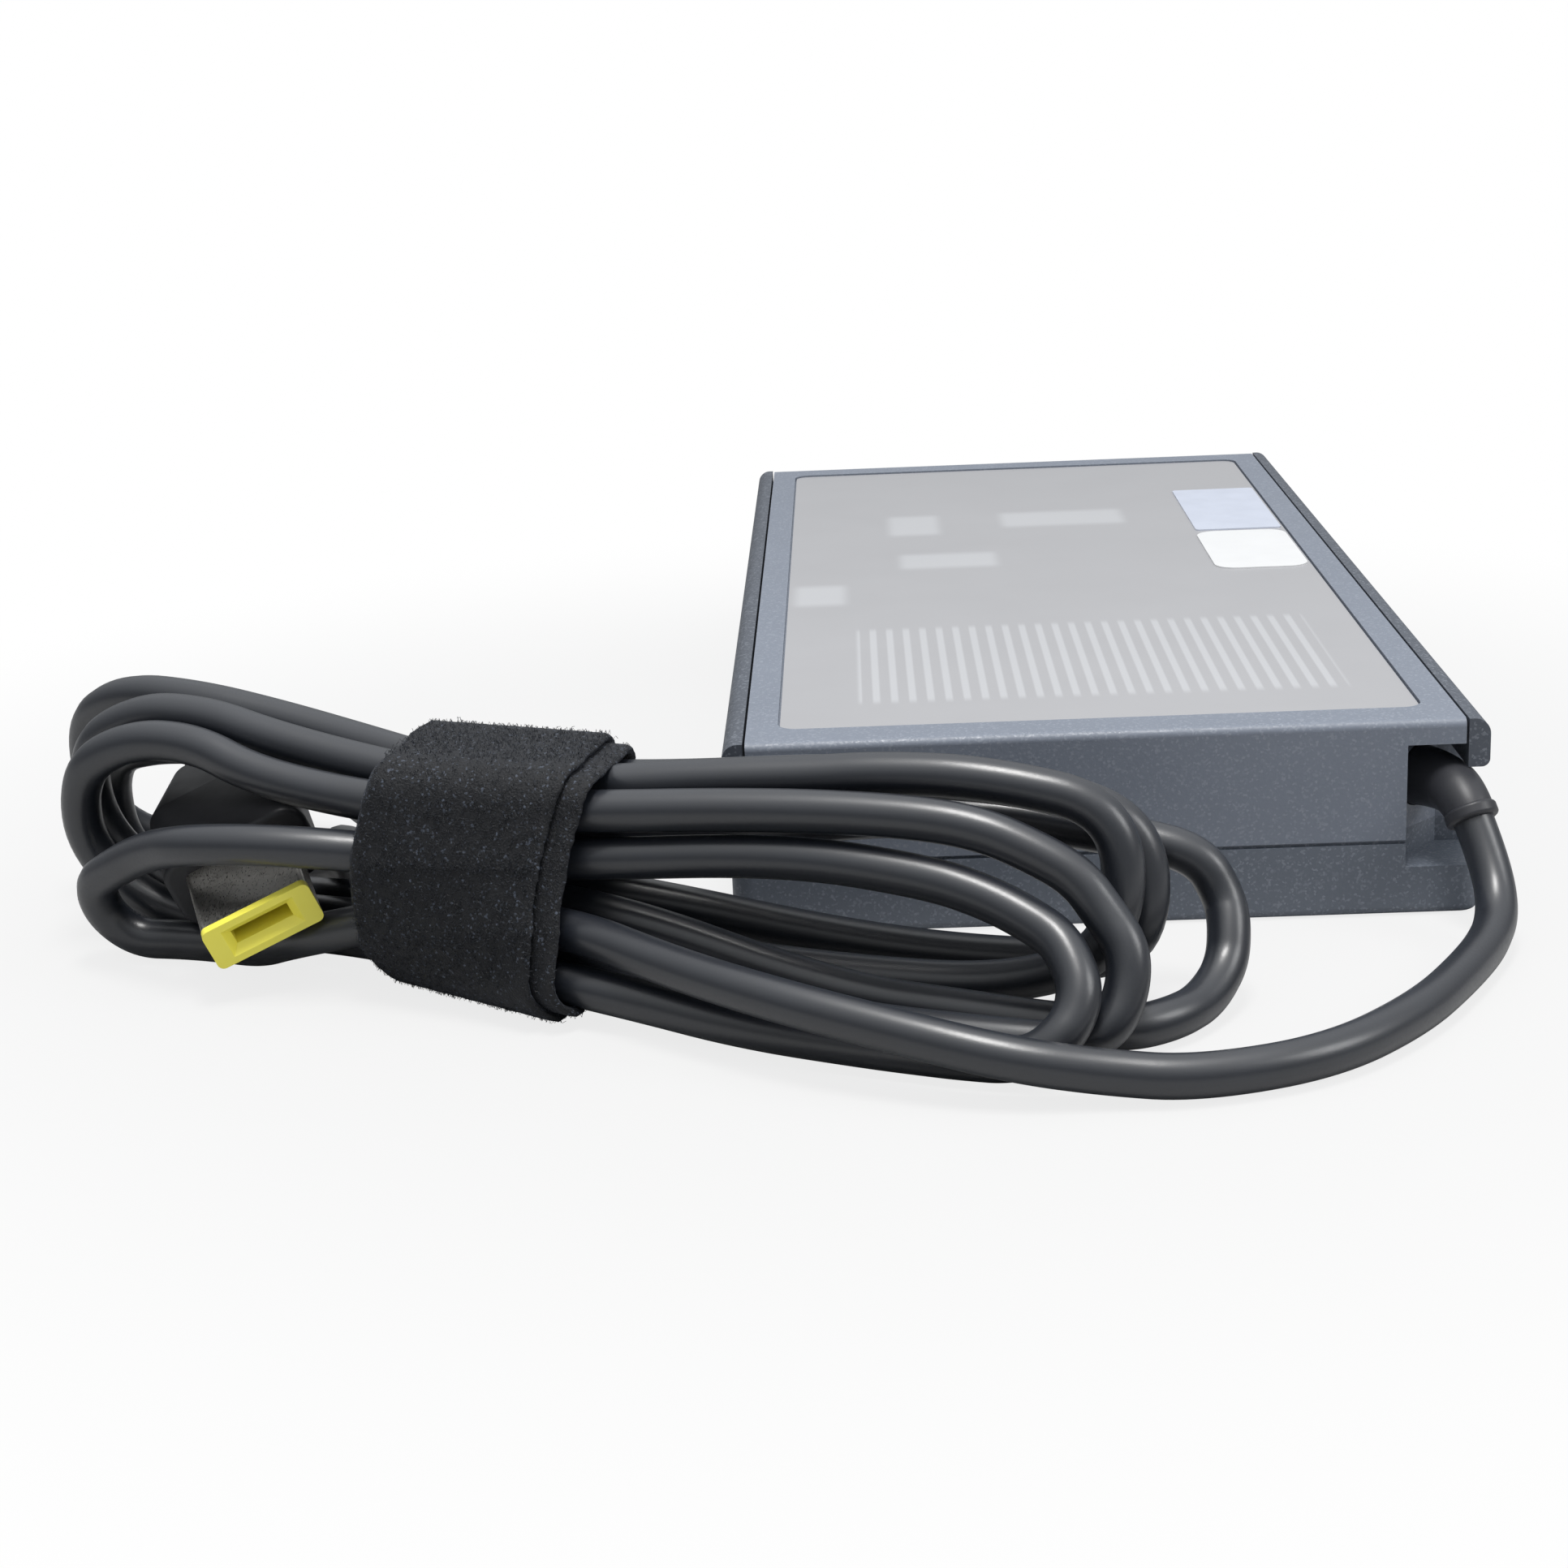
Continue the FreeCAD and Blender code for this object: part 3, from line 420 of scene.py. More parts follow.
def even_finish(name, low, high, rough, size=6.0, bump_size=0.3, bump=0.3, metal=0.0, height=0.02):
    """A moulded, ground or dipped finish: slight colour drift, roughness drift and a fine bump."""
    made, tree, shader, mm = new_material(name)
    tree.links.new(mottled(tree, mm, size, srgb(low), srgb(high)), shader.inputs["Base Color"])
    cloud = add(tree, "ShaderNodeTexNoise", {"Scale": FINISH_CLOUDS, "Detail": 3.0}, {"Vector": mm})
    drift = add(
        tree,
        "ShaderNodeMapRange",
        {"From Min": 0.3, "From Max": 0.7, "To Min": rough - 0.04, "To Max": rough + 0.05},
        {"Value": cloud.outputs["Fac"]},
    )
    tree.links.new(drift.outputs["Result"], shader.inputs["Roughness"])
    tree.links.new(grain(tree, mm, bump_size, bump, height), shader.inputs["Normal"])
    shader.inputs["Metallic"].default_value = metal
    return made


def jacket_material(settings):
    """Extruded soft PVC jacket: near black, satin, its skin breaking up the highlights into grain."""
    made, tree, shader, mm = new_material("extruded_pvc_jacket")
    body = mottled(tree, mm, 9.0, settings.cord_dark, settings.cord_light)
    tree.links.new(body, shader.inputs["Base Color"])
    cloud = add(tree, "ShaderNodeTexNoise", {"Scale": JACKET_CLOUDS, "Detail": 2.0}, {"Vector": mm})
    drift = add(
        tree,
        "ShaderNodeMapRange",
        {"From Min": 0.3, "From Max": 0.7, "To Min": 0.4, "To Max": 0.5},
        {"Value": cloud.outputs["Fac"]},
    )
    tree.links.new(drift.outputs["Result"], shader.inputs["Roughness"])
    skin = grain(tree, mm, JACKET_GRAIN, 0.35, 0.012)
    tree.links.new(skin, shader.inputs["Normal"])
    tree.links.new(skin, shader.inputs["Coat Normal"])
    shader.inputs["IOR"].default_value = 1.53
    shader.inputs["Coat Weight"].default_value = 0.6
    shader.inputs["Coat IOR"].default_value = 1.65
    shader.inputs["Coat Roughness"].default_value = 0.3
    return made


def housing_material(name, low, high):
    """Spark-textured ABS and polycarbonate, moulded: blue grey, matt, with glints painted grain by grain
    into its colour.
    """
    made, tree, shader, mm = new_material(name)
    body = mottled(tree, mm, 14.0, low, high)
    cells = add(
        tree,
        "ShaderNodeTexVoronoi",
        {"Scale": HOUSING_GRAINS_AND_GLINTS, "feature": "F1"},
        {"Vector": mm},
    )
    chosen = add(tree, "ShaderNodeSeparateColor", None, {"Color": cells.outputs["Color"]})
    # Pale cells mixed into the colour are painted glints; the same cells vary the roughness
    painted_glint = add(
        tree,
        "ShaderNodeMapRange",
        {"From Min": 0.75, "From Max": 1.0, "To Min": 0.0, "To Max": 0.3},
        {"Value": chosen.outputs[0]},
    )
    with_painted_glints = add(
        tree,
        "ShaderNodeMix",
        {"data_type": "RGBA", 7: srgb("a3a9b3")},
        {"Factor": painted_glint.outputs["Result"], 6: body},
    )
    tree.links.new(with_painted_glints.outputs[2], shader.inputs["Base Color"])
    rough = add(
        tree,
        "ShaderNodeMapRange",
        {"From Min": 0.0, "From Max": 1.0, "To Min": 0.4, "To Max": 0.62},
        {"Value": chosen.outputs[1]},
    )
    tree.links.new(rough.outputs["Result"], shader.inputs["Roughness"])
    tree.links.new(grain(tree, mm, 0.3, 0.6, 0.03), shader.inputs["Normal"])
    shader.inputs["IOR"].default_value = 1.57
    return made


def between(tree, value, low, high, soft):
    """One where value lies from low to high, with soft edges."""
    rise = add(
        tree,
        "ShaderNodeMapRange",
        {"interpolation_type": "SMOOTHSTEP", "From Min": low - soft, "From Max": low + soft},
        {"Value": value},
    )
    fall = add(
        tree,
        "ShaderNodeMapRange",
        {
            "interpolation_type": "SMOOTHSTEP",
            "From Min": high - soft,
            "From Max": high + soft,
            "To Min": 1.0,
            "To Max": 0.0,
        },
        {"Value": value},
    )
    both = add(
        tree,
        "ShaderNodeMath",
        {"operation": "MULTIPLY"},
        {0: rise.outputs["Result"], 1: fall.outputs["Result"]},
    )
    return both.outputs[0]


# Print on the label, in millimetres: the bars' spacing and their field in x and y, the blocks in x
# and y, and the softness of their edges
BAR_SPACING = 1.87
BARS_X = (-23.8, 26.4)
BARS_Y = (-58.0, -27.0)
BARS_SOFT = (0.3, 1.2)
BLOCKS = (
    ((-31, -25), (-14, -4)),
    ((-19, -12.5), (24, 36)),
    ((-18, -6), (4, 12)),
    ((-4, 12), (27, 36)),
)
BLOCK_SOFT = (0.9, 1.6)
INK_STRENGTH = 0.3


def label_material(settings):
    """Printed polyester label film, matt laminated, with plain pale blocks and bars."""
    made, tree, shader, mm = new_material("printed_label_film")
    place = add(tree, "ShaderNodeSeparateXYZ", None, {0: mm})
    x, y = place.outputs[0], place.outputs[1]
    turn = {"operation": "MULTIPLY", 1: 2 * math.pi / BAR_SPACING}
    wave = add(tree, "ShaderNodeMath", turn, {0: x})
    swing = add(tree, "ShaderNodeMath", {"operation": "SINE"}, {0: wave.outputs[0]})
    bars = add(
        tree,
        "ShaderNodeMapRange",
        {"From Min": 0.0, "From Max": 0.6},
        {"Value": swing.outputs[0]},
    )
    ink = bars.outputs["Result"]
    for value, (low, high), soft in ((x, BARS_X, BARS_SOFT[0]), (y, BARS_Y, BARS_SOFT[1])):
        field = between(tree, value, low, high, soft)
        ink = add(tree, "ShaderNodeMath", {"operation": "MULTIPLY"}, {0: ink, 1: field}).outputs[0]
    for (x0, x1), (y0, y1) in BLOCKS:
        wide = between(tree, x, x0, x1, BLOCK_SOFT[0])
        long = between(tree, y, y0, y1, BLOCK_SOFT[1])
        block = add(tree, "ShaderNodeMath", {"operation": "MULTIPLY"}, {0: wide, 1: long})
        either = add(tree, "ShaderNodeMath", {"operation": "MAXIMUM"}, {0: ink, 1: block.outputs[0]})
        ink = either.outputs[0]
    faint = add(tree, "ShaderNodeMath", {"operation": "MULTIPLY", 1: INK_STRENGTH}, {0: ink})
    print_mix = add(
        tree,
        "ShaderNodeMix",
        {"data_type": "RGBA", 7: srgb("dfe2e6")},
        {"Factor": faint.outputs[0], 6: mottled(tree, mm, 20.0, settings.label_dark, settings.label_light)},
    )
    tree.links.new(print_mix.outputs[2], shader.inputs["Base Color"])
    tree.links.new(grain(tree, mm, 0.5, 0.25, 0.015), shader.inputs["Normal"])
    shader.inputs["Roughness"].default_value = 0.42
    shader.inputs["IOR"].default_value = 1.6
    shader.inputs["Coat Weight"].default_value = 1.0
    shader.inputs["Coat Roughness"].default_value = 0.3
    return made


def fabric_material(name, low, high):
    """Knitted nylon loop fabric: matt, dark, with sheen, painted glints in pale cells and a fuzzy broken
    surface.
    """
    made, tree, shader, mm = new_material(name)
    cells = add(
        tree,
        "ShaderNodeTexVoronoi",
        {"Scale": FABRIC_GLINTS, "feature": "F1"},
        {"Vector": mm},
    )
    chosen = add(tree, "ShaderNodeSeparateColor", None, {"Color": cells.outputs["Color"]})
    # Sparse pale cells mixed into the colour are painted glints
    painted_fabric_glint = add(
        tree,
        "ShaderNodeMapRange",
        {"From Min": 0.92, "From Max": 1.0, "To Min": 0.0, "To Max": 0.45},
        {"Value": chosen.outputs[0]},
    )
    with_painted_glints = add(
        tree,
        "ShaderNodeMix",
        {"data_type": "RGBA", 7: srgb("707a8c")},
        {"Factor": painted_fabric_glint.outputs["Result"], 6: mottled(tree, mm, 0.3, low, high)},
    )
    tree.links.new(with_painted_glints.outputs[2], shader.inputs["Base Color"])
    shader.inputs["Roughness"].default_value = 0.7
    shader.inputs["Sheen Weight"].default_value = 0.18
    shader.inputs["Sheen Roughness"].default_value = 0.35
    shader.inputs["Sheen Tint"].default_value = srgb("9aa2b4")
    tree.links.new(grain(tree, mm, 0.2, 1.0, 0.16), shader.inputs["Normal"])
    return made


def fibre_material():
    """Drawn nylon filament: black, smooth enough to glint."""
    return even_finish(
        "drawn_nylon_filament", "101319", "262a32", 0.32, size=0.8, bump_size=0.1, bump=0.05
    )


def steel_material():
    """Nickel-plated drawn steel: bright grey, with fine drawing lines."""
    made, tree, shader, mm = new_material("drawn_nickel_plated_steel")
    stretched = add(
        tree,
        "ShaderNodeMapping",
        {"vector_type": "POINT", "Scale": (6.0, 0.5, 6.0)},
        {"Vector": mm},
    )
    lines = add(
        tree,
        "ShaderNodeTexNoise",
        {"Scale": 1.4, "Detail": 4.0},
        {"Vector": stretched.outputs[0]},
    )
    rough = add(
        tree,
        "ShaderNodeMapRange",
        {"From Min": 0.3, "From Max": 0.7, "To Min": 0.24, "To Max": 0.42},
        {"Value": lines.outputs["Fac"]},
    )
    tree.links.new(rough.outputs["Result"], shader.inputs["Roughness"])
    body = mottled(tree, mm, 3.0, srgb("b9b6b0"), srgb("cbc8c2"))
    tree.links.new(body, shader.inputs["Base Color"])
    bump = add(
        tree,
        "ShaderNodeBump",
        {"Strength": 0.15, "Distance": 0.01 * MM},
        {"Height": lines.outputs["Fac"]},
    )
    tree.links.new(bump.outputs["Normal"], shader.inputs["Normal"])
    shader.inputs["Metallic"].default_value = 1.0
    return made


def node_materials(settings):
    """One material for each finish, by the CAD nodes that wear it."""
    # Upper and lower housing: one plastic, its two tone pairs painted light and shade, the lower darker
    upper = housing_material("spark_textured_cover", settings.cover_dark, settings.cover_light)
    lower = housing_material("spark_textured_base", settings.base_dark, settings.base_light)
    rail = housing_material("spark_textured_rail", settings.rail_dark, settings.rail_light)
    steel = steel_material()
    # Glass-filled plastic: near black and half matt, so the pins stand out in the inlet
    black = even_finish("moulded_black_plastic", "17181a", "1d1e20", 0.45, bump_size=0.25, bump=0.25)
    # Soft PVC of the plug's grip and the boot: dark grey, satin
    grip = even_finish("moulded_plug_grip", "212226", "2a2b2f", 0.46, bump_size=0.28, bump=0.4)
    boot = even_finish("moulded_soft_boot", "2a2b2f", "323338", 0.42, bump_size=0.3, bump=0.25)
    # Moulded nylon of the plug's tip: strong clean yellow, slightly glossy
    yellow = even_finish(
        "moulded_yellow_insulator", "fbf158", "fff66a", 0.34, size=4.0, bump_size=0.4, bump=0.15
    )
    # Metals: warm stamped brass, pale rolled aluminium with a soft gleam, ridged red-brown windings
    brass = even_finish("stamped_plated_brass", "b08d4a", "c4a05a", 0.3, metal=1.0, bump=0.1)
    aluminium = even_finish("rolled_aluminium_sheet", "b8babd", "c6c8cb", 0.4, metal=1.0, bump=0.2)
    copper = even_finish(
        "enamelled_copper_wire", "8f4a22", "a85c2e", 0.35, bump_size=0.5, bump=0.6, height=0.1
    )
    # Pressed ferrite is charcoal and gritty, moulded epoxy black and matt
    ferrite = even_finish("sintered_ferrite", "26272a", "303135", 0.7, bump_size=0.2, bump=0.5)
    epoxy = even_finish("moulded_epoxy_package", "161616", "1f1f1f", 0.6, bump_size=0.15, bump=0.4)
    # Capacitors: glossy blue-black sleeves, an ochre box and dipped blue discs
    sleeve = even_finish("shrunk_capacitor_sleeve", "171a26", "20243a", 0.3, bump=0.1)
    film = even_finish("cast_film_capacitor_case", "b98f1c", "c99f2a", 0.4, bump=0.2)
    disc = even_finish("dipped_ceramic_disc", "1f4a86", "2a5a9c", 0.4, bump=0.4)
    # Fired fuse tube in off-white, and the board's green laminate with its weave faintly raised
    ceramic = even_finish("fired_fuse_ceramic", "d8d8d2", "e2e2dc", 0.35, bump=0.2)
    laminate = even_finish("woven_glass_laminate", "1f4527", "275530", 0.4, bump_size=0.8, bump=0.4)
    # Cast cream film and grey silicone, both matt, and satin black wire insulation
    sheet = even_finish("cast_insulating_film", "c8c2ac", "d4cfba", 0.5, bump=0.1)
    pad = even_finish("cast_silicone_pad", "8c929a", "989ea6", 0.6, bump=0.3)
    wire = even_finish("extruded_wire_insulation", "1c1c1f", "26262a", 0.4, bump=0.1)
    # Stickers: satin metallised film in pale silver blue, and white coated paper
    silver = even_finish("metallised_sticker_film", "b4bac8", "c2c8d6", 0.38, size=5.0, bump=0.15)
    white = even_finish("coated_sticker_paper", "cfd0d1", "d6d7d8", 0.5, size=5.0, bump=0.15)
    return {
        "lower_housing": lower,
        "upper_housing": upper,
        "side_rail_left": rail,
        "side_rail_right": rail,
        "rating_label": label_material(settings),
        "silver_sticker": silver,
        "white_sticker": white,
        "ac_inlet_body": black,
        "ac_pin_line": steel,
        "ac_pin_neutral": steel,
        "ac_pin_earth": steel,
        "circuit_board": laminate,
        "heat_spreader_lower": aluminium,
        "heat_spreader_upper": aluminium,
        "insulating_sheet_lower": sheet,
        "insulating_sheet_upper": sheet,
        "input_fuse": ceramic,
        "x_capacitor": film,
        "y_capacitor_1": disc,
        "y_capacitor_2": disc,
        "filter_choke_core": ferrite,
        "filter_choke_winding": copper,
        "boost_choke_core": ferrite,
        "boost_choke_winding": copper,
        "bridge_rectifier": epoxy,
        "bulk_capacitor_1": sleeve,
        "bulk_capacitor_2": sleeve,
        "primary_heat_sink": aluminium,
        "primary_transistor": epoxy,
        "transformer_core": ferrite,
        "transformer_winding": copper,
        "thermal_pad": pad,
        "secondary_heat_sink": aluminium,
        "secondary_rectifier": epoxy,
        "output_capacitor_1": sleeve,
        "output_capacitor_2": sleeve,
        "output_capacitor_3": sleeve,
        "output_choke": ferrite,
        "optocoupler": epoxy,
        "control_chip_1": epoxy,
        "control_chip_2": epoxy,
        "inlet_lead_line": wire,
        "inlet_lead_neutral": wire,
        "strain_relief_boot": boot,
        "dc_wire_positive": wire,
        "dc_wire_return": wire,
        "plug_insulator": yellow,
        "plug_shell": steel,
        "plug_centre_pin": brass,
        "plug_contact_left": brass,
        "plug_contact_right": brass,
        "plug_housing": grip,
        "plug_strain_relief": boot,
    }


# Strap: the taut outline of the strands at its two rims, across the hank and up
HULL_RIGHT = [(-9.4, 4.0), (2.5, 4.0), (4.7, 13.5), (4.9, 19.6), (-4.5, 19.6), (-6.6, 13.9), (-8.4, 8.5)]
HULL_LEFT = [(-2.0, 4.0), (7.9, 4.0), (7.3, 9.0), (5.0, 20.2), (-3.6, 19.6), (-4.9, 13.6), (-4.7, 8.0)]
OUTER_SPAN = (-10.9, 8.1)
INNER_SPAN = (-8.0, 10.6)
STRAP_GAP = 0.1
INNER_R = CORD_R + 0.2

# Mesh of the strap: length of a cell, cells round a corner, and cells that one inner cell spans
STEP = 0.3
CORNER_CELLS = 6
INNER_CELLS = 6

# The rims lean along the hank, more towards the top and the foot, and bulge between the faces
RIM_LEAN = 0.0128
RIM_MID = 9.0
FOOT_LEAN = 0.085
FOOT_TOP = 5.0
RIM_BULGE = 0.2

# The rims wander in a slow and a quick wave, given as waves to the millimetre and as depths, which
# fade out away from the rims
SLOW_WAVE = 0.28
SLOW_DEPTH = 0.4
SLOW_SEED = 4.0
QUICK_WAVE = 1.3
QUICK_DEPTH = 0.16
LEFT_SEED = 2.0
RIGHT_SEED = 5.0
WAVE_FADE = 2.5

# The knit rises and falls in coarse and fine lumps, and its outer face is rounded off at the rims
COARSE_LUMPS = 2.1
FINE_LUMPS = 5.3
EDGE_DROP = 0.3
EDGE_WIDE = 0.5
FLOOR_CLEAR = 0.02


def hull_at(a):
    """The taut outline round the strands' centres at a place along the hank."""
    share = (a - RIM_LEFT) / (RIM_RIGHT - RIM_LEFT)
    return [
        (ln + (rn - ln) * share, lz + (rz - lz) * share)
        for (rn, rz), (ln, lz) in zip(HULL_RIGHT, HULL_LEFT)
    ]


def edge_counts():
    """Samples on each straight side of the strap's outline."""
    hull = hull_at(0)
    return [
        max(2, round(math.dist(hull[i], hull[(i + 1) % len(hull)]) / STEP))
        for i in range(len(hull))
    ]


def ring(a, radius, counts):
    """Points and outward directions round the strands at a place along the hank, in its n and z."""
    hull = hull_at(a)
    size = len(hull)
    normals = []
    for i in range(size):
        (n0, z0), (n1, z1) = hull[i], hull[(i + 1) % size]
        reach = math.hypot(n1 - n0, z1 - z0)
        normals.append(((z1 - z0) / reach, -(n1 - n0) / reach))
    places = []
    for i in range(size):
        before, after = normals[i - 1], normals[i]
        start = math.atan2(before[1], before[0])
        turn = (math.atan2(after[1], after[0]) - start + math.pi) % (2 * math.pi) - math.pi
        for k in range(CORNER_CELLS):
            angle = start + turn * k / CORNER_CELLS
            out = (math.cos(angle), math.sin(angle))
            places.append((hull[i][0] + out[0] * radius, hull[i][1] + out[1] * radius, out))
        ahead = hull[(i + 1) % size]
        for k in range(counts[i]):
            share = k / counts[i]
            n = hull[i][0] + (ahead[0] - hull[i][0]) * share + after[0] * radius
            z = hull[i][1] + (ahead[1] - hull[i][1]) * share + after[1] * radius
            places.append((n, z, after))
    return places


def lean(z):
    """How far the strap's rims lean along the hank at a height."""
    return RIM_LEAN * max(0.0, z - RIM_MID) ** 2 + FOOT_LEAN * max(0.0, FOOT_TOP - z) ** 2


def wander(n, z, seed):
    """How far a rim of the strap strays along the hank at a point of its outline."""
    slow = noise.noise(Vector((n * SLOW_WAVE, z * SLOW_WAVE, seed + SLOW_SEED))) * SLOW_DEPTH
    return slow + noise.noise(Vector((n * QUICK_WAVE, z * QUICK_WAVE, seed))) * QUICK_DEPTH


def mesh_object(name, bm, material):
    """A finished object at the origin from a bmesh in millimetres."""
    bmesh.ops.scale(bm, vec=(MM, MM, MM), verts=bm.verts)
    bmesh.ops.recalc_face_normals(bm, faces=bm.faces)
    mesh = bpy.data.meshes.new(name)
    bm.to_mesh(mesh)
    bm.free()
    mesh.materials.append(material)
    for polygon in mesh.polygons:
        polygon.use_smooth = True
    made = bpy.data.objects.new(name, mesh)
    bpy.context.scene.collection.objects.link(made)
    return made


def strap_band(name, left, right, inner, thick, fuzz, material):
    """One layer of the strap: rings round the strands, bridged over both faces and the rims."""
    counts = edge_counts()
    wide = right - left
    columns = max(4, round(wide / STEP))
    stations = [(column / columns, thick) for column in range(columns + 1)]
    stations += [(1.0 + RIM_BULGE / wide, thick * 0.5)]
    stations += [(column / columns, 0.0) for column in range(columns, -1, -INNER_CELLS)]
    stations += [(-RIM_BULGE / wide, thick * 0.5)]
    bm = bmesh.new()
    loops = []
    for share, lift in stations:
        a = left + wide * share
        edge = min(share, 1 - share) * wide
        fade = 1 - min(1.0, max(0.0, edge) / WAVE_FADE)
        seed = RIGHT_SEED if share > 0.5 else LEFT_SEED
        corners = []
        for n, z, out in ring(a, inner + lift, counts):
            point = in_hank(a + lean(z) + wander(n, z, seed) * fade, n, z)
            if lift == thick:
                lumps = noise.noise(point * COARSE_LUMPS) * 0.5 + noise.noise(point * FINE_LUMPS) * 0.5
                lifted = fuzz * lumps - EDGE_DROP * thick * max(0.0, 1 - edge / EDGE_WIDE) ** 2
                point = point + (ACROSS * out[0] + UP * out[1]) * lifted
            point.z = max(point.z, FLOOR_CLEAR)
            corners.append(bm.verts.new(point))
        loops.append([bm.edges.new(pair) for pair in zip(corners, corners[1:] + corners[:1])])
    for first, second in zip(loops, loops[1:] + loops[:1]):
        bmesh.ops.bridge_loops(bm, edges=first + second)
    return mesh_object(name, bm, material)


# Pile: a filament's radius, how deep its foot sits, how far the foot may shift round the strap,
# and the least height over the table
FIBRE_R = 0.024
FIBRE_ROOT = 0.12
FIBRE_SHIFT = 0.3
FIBRE_CLEAR = 0.05

# Loops of the pile: their heights as shares of the pile's, their widths, where their top lies, and
# how the filament's thickness varies. A few strays stand taller and wider
LOOP_HIGH = (0.5, 1.1)
LOOP_WIDE = (0.25, 0.6)
LOOP_TOP = 0.45
LOOP_THICK = (0.75, 1.2)
STRAY_SHARE = 0.02
STRAY_HIGH = 2.2
STRAY_WIDE = 1.8


def strap_pile(name, left, right, inner, thick, count, height, material, seed):
    """Loops of nylon on a strap layer, with stray filaments: thin curves turned into one mesh."""
    chance = random.Random(seed)
    counts = edge_counts()
    curve = bpy.data.curves.new(name, "CURVE")
    curve.dimensions = "3D"
    curve.fill_mode = "FULL"
    curve.bevel_depth = FIBRE_R * MM
    curve.bevel_resolution = 0
    for _ in range(count):
        a = left + (right - left) * chance.random()
        n, z, out = chance.choice(ring(a, inner + thick, counts))
        outward = ACROSS * out[0] + UP * out[1]
        round_way = UP * out[0] - ACROSS * out[1]
        turn = chance.uniform(0, 2 * math.pi)
        way = ALONG * math.cos(turn) + round_way * math.sin(turn)
        foot = in_hank(a + lean(z), n, z) + outward * -FIBRE_ROOT
        foot = foot + round_way * chance.uniform(-FIBRE_SHIFT, FIBRE_SHIFT)
        stray = chance.random() < STRAY_SHARE
        high = height * chance.uniform(*LOOP_HIGH) * (STRAY_HIGH if stray else 1.0)
        wide = chance.uniform(*LOOP_WIDE) * (STRAY_WIDE if stray else 1.0)
        top = foot + outward * (high + FIBRE_ROOT) + way * wide * LOOP_TOP
        end = foot + outward * (high if stray else 0.0) + way * wide
        path = [foot, top, end]
        spline = curve.splines.new("POLY")
        spline.points.add(len(path) - 1)
        for place, point in zip(spline.points, path):
            point.z = max(point.z, FIBRE_CLEAR)
            place.co = (*(point * MM), 1.0)
            place.radius = chance.uniform(*LOOP_THICK)
    drawn = bpy.data.objects.new(name, curve)
    mesh = bpy.data.meshes.new_from_object(drawn)
    bpy.data.objects.remove(drawn)
    bpy.data.curves.remove(curve)
    mesh.name = name
    mesh.materials.clear()
    mesh.materials.append(material)
    made = bpy.data.objects.new(name, mesh)
    bpy.context.scene.collection.objects.link(made)
    return made


# Hook tab: its size, its middle along the hank, its upper edge down from the outline's corner, its
# lift off the outer layer, its rounded lower corners and the cells of its mesh
TAB_WIDE = 13.0
TAB_LONG = 10.4
TAB_MIDDLE = -1.0
TAB_TOP = 0.6
TAB_LIFT = 0.3
TAB_ROUND_FROM = 9.4
TAB_CORNER = 1.6
TAB_CELLS = (36, 30)


def hook_tab(name, thick, outer, material):
    """The free end of the strap: a thin tab with soft corners, laid over the side of the outer layer."""
    bm = bmesh.new()
    bmesh.ops.create_grid(bm, x_segments=TAB_CELLS[0], y_segments=TAB_CELLS[1], size=0.5)
    lifts = []
    for corner in bm.verts:
        a = TAB_MIDDLE + TAB_WIDE * corner.co.x
        (n0, z0), (n1, z1) = hull_at(a)[3], hull_at(a)[2]
        size = math.hypot(n1 - n0, z1 - z0)
        down = ((n1 - n0) / size, (z1 - z0) / size)
        out = (-down[1], down[0])
        reach = TAB_TOP + TAB_LONG * (corner.co.y + 0.5)
        rounding = max(0.0, reach - TAB_ROUND_FROM)
        pull = TAB_CORNER - math.sqrt(max(0.0, TAB_CORNER ** 2 - rounding ** 2))
        along = a - pull * 2 * corner.co.x
        off = outer + thick + TAB_LIFT
        corner.co = in_hank(along, n0 + down[0] * reach + out[0] * off, z0 + down[1] * reach + out[1] * off)
        lifts.append((ACROSS * out[0] + UP * out[1]) * thick)
    bmesh.ops.extrude_face_region(bm, geom=bm.faces[:], use_keep_orig=True)
    bm.verts.ensure_lookup_table()
    for number, lift in enumerate(lifts):
        bm.verts[number].co += lift
    return mesh_object(name, bm, material)


# Camera, fitted to the brick: its place, the angles it looks down, aside and tilts, and its lens
CAMERA_PLACE = (-0.02362, -0.33081, 0.09486)
CAMERA_PITCH = math.radians(17.0)
CAMERA_YAW = math.radians(1.733)
CAMERA_ROLL = math.radians(-2.547)
CAMERA_LENS = 63.17
CAMERA_SENSOR = 36.0


class ADAPTER_OT_camera(bpy.types.Operator):
    """Add the camera where the photograph was taken from"""

    bl_idname = "adapter.camera"
    bl_label = "Add camera"

    def execute(self, context):
        ahead, down = math.cos(CAMERA_PITCH), math.sin(CAMERA_PITCH)
        across, aside = math.cos(CAMERA_YAW), math.sin(CAMERA_YAW)
        level = Vector((across, aside, 0.0))
        forward = Vector((-aside * ahead, across * ahead, -down))
        upward = level.cross(forward)
        right = level * math.cos(CAMERA_ROLL) + upward * math.sin(CAMERA_ROLL)
        top = upward * math.cos(CAMERA_ROLL) - level * math.sin(CAMERA_ROLL)
        data = bpy.data.cameras.new("camera")
        data.lens = CAMERA_LENS
        data.sensor_width = CAMERA_SENSOR
        data.clip_start = 0.01
        camera = bpy.data.objects.new("camera", data)
        turn = Matrix((right, top, -forward)).transposed().to_4x4()
        camera.matrix_world = Matrix.Translation(CAMERA_PLACE) @ turn
        context.scene.collection.objects.link(camera)
        context.scene.camera = camera
        return {"FINISHED"}


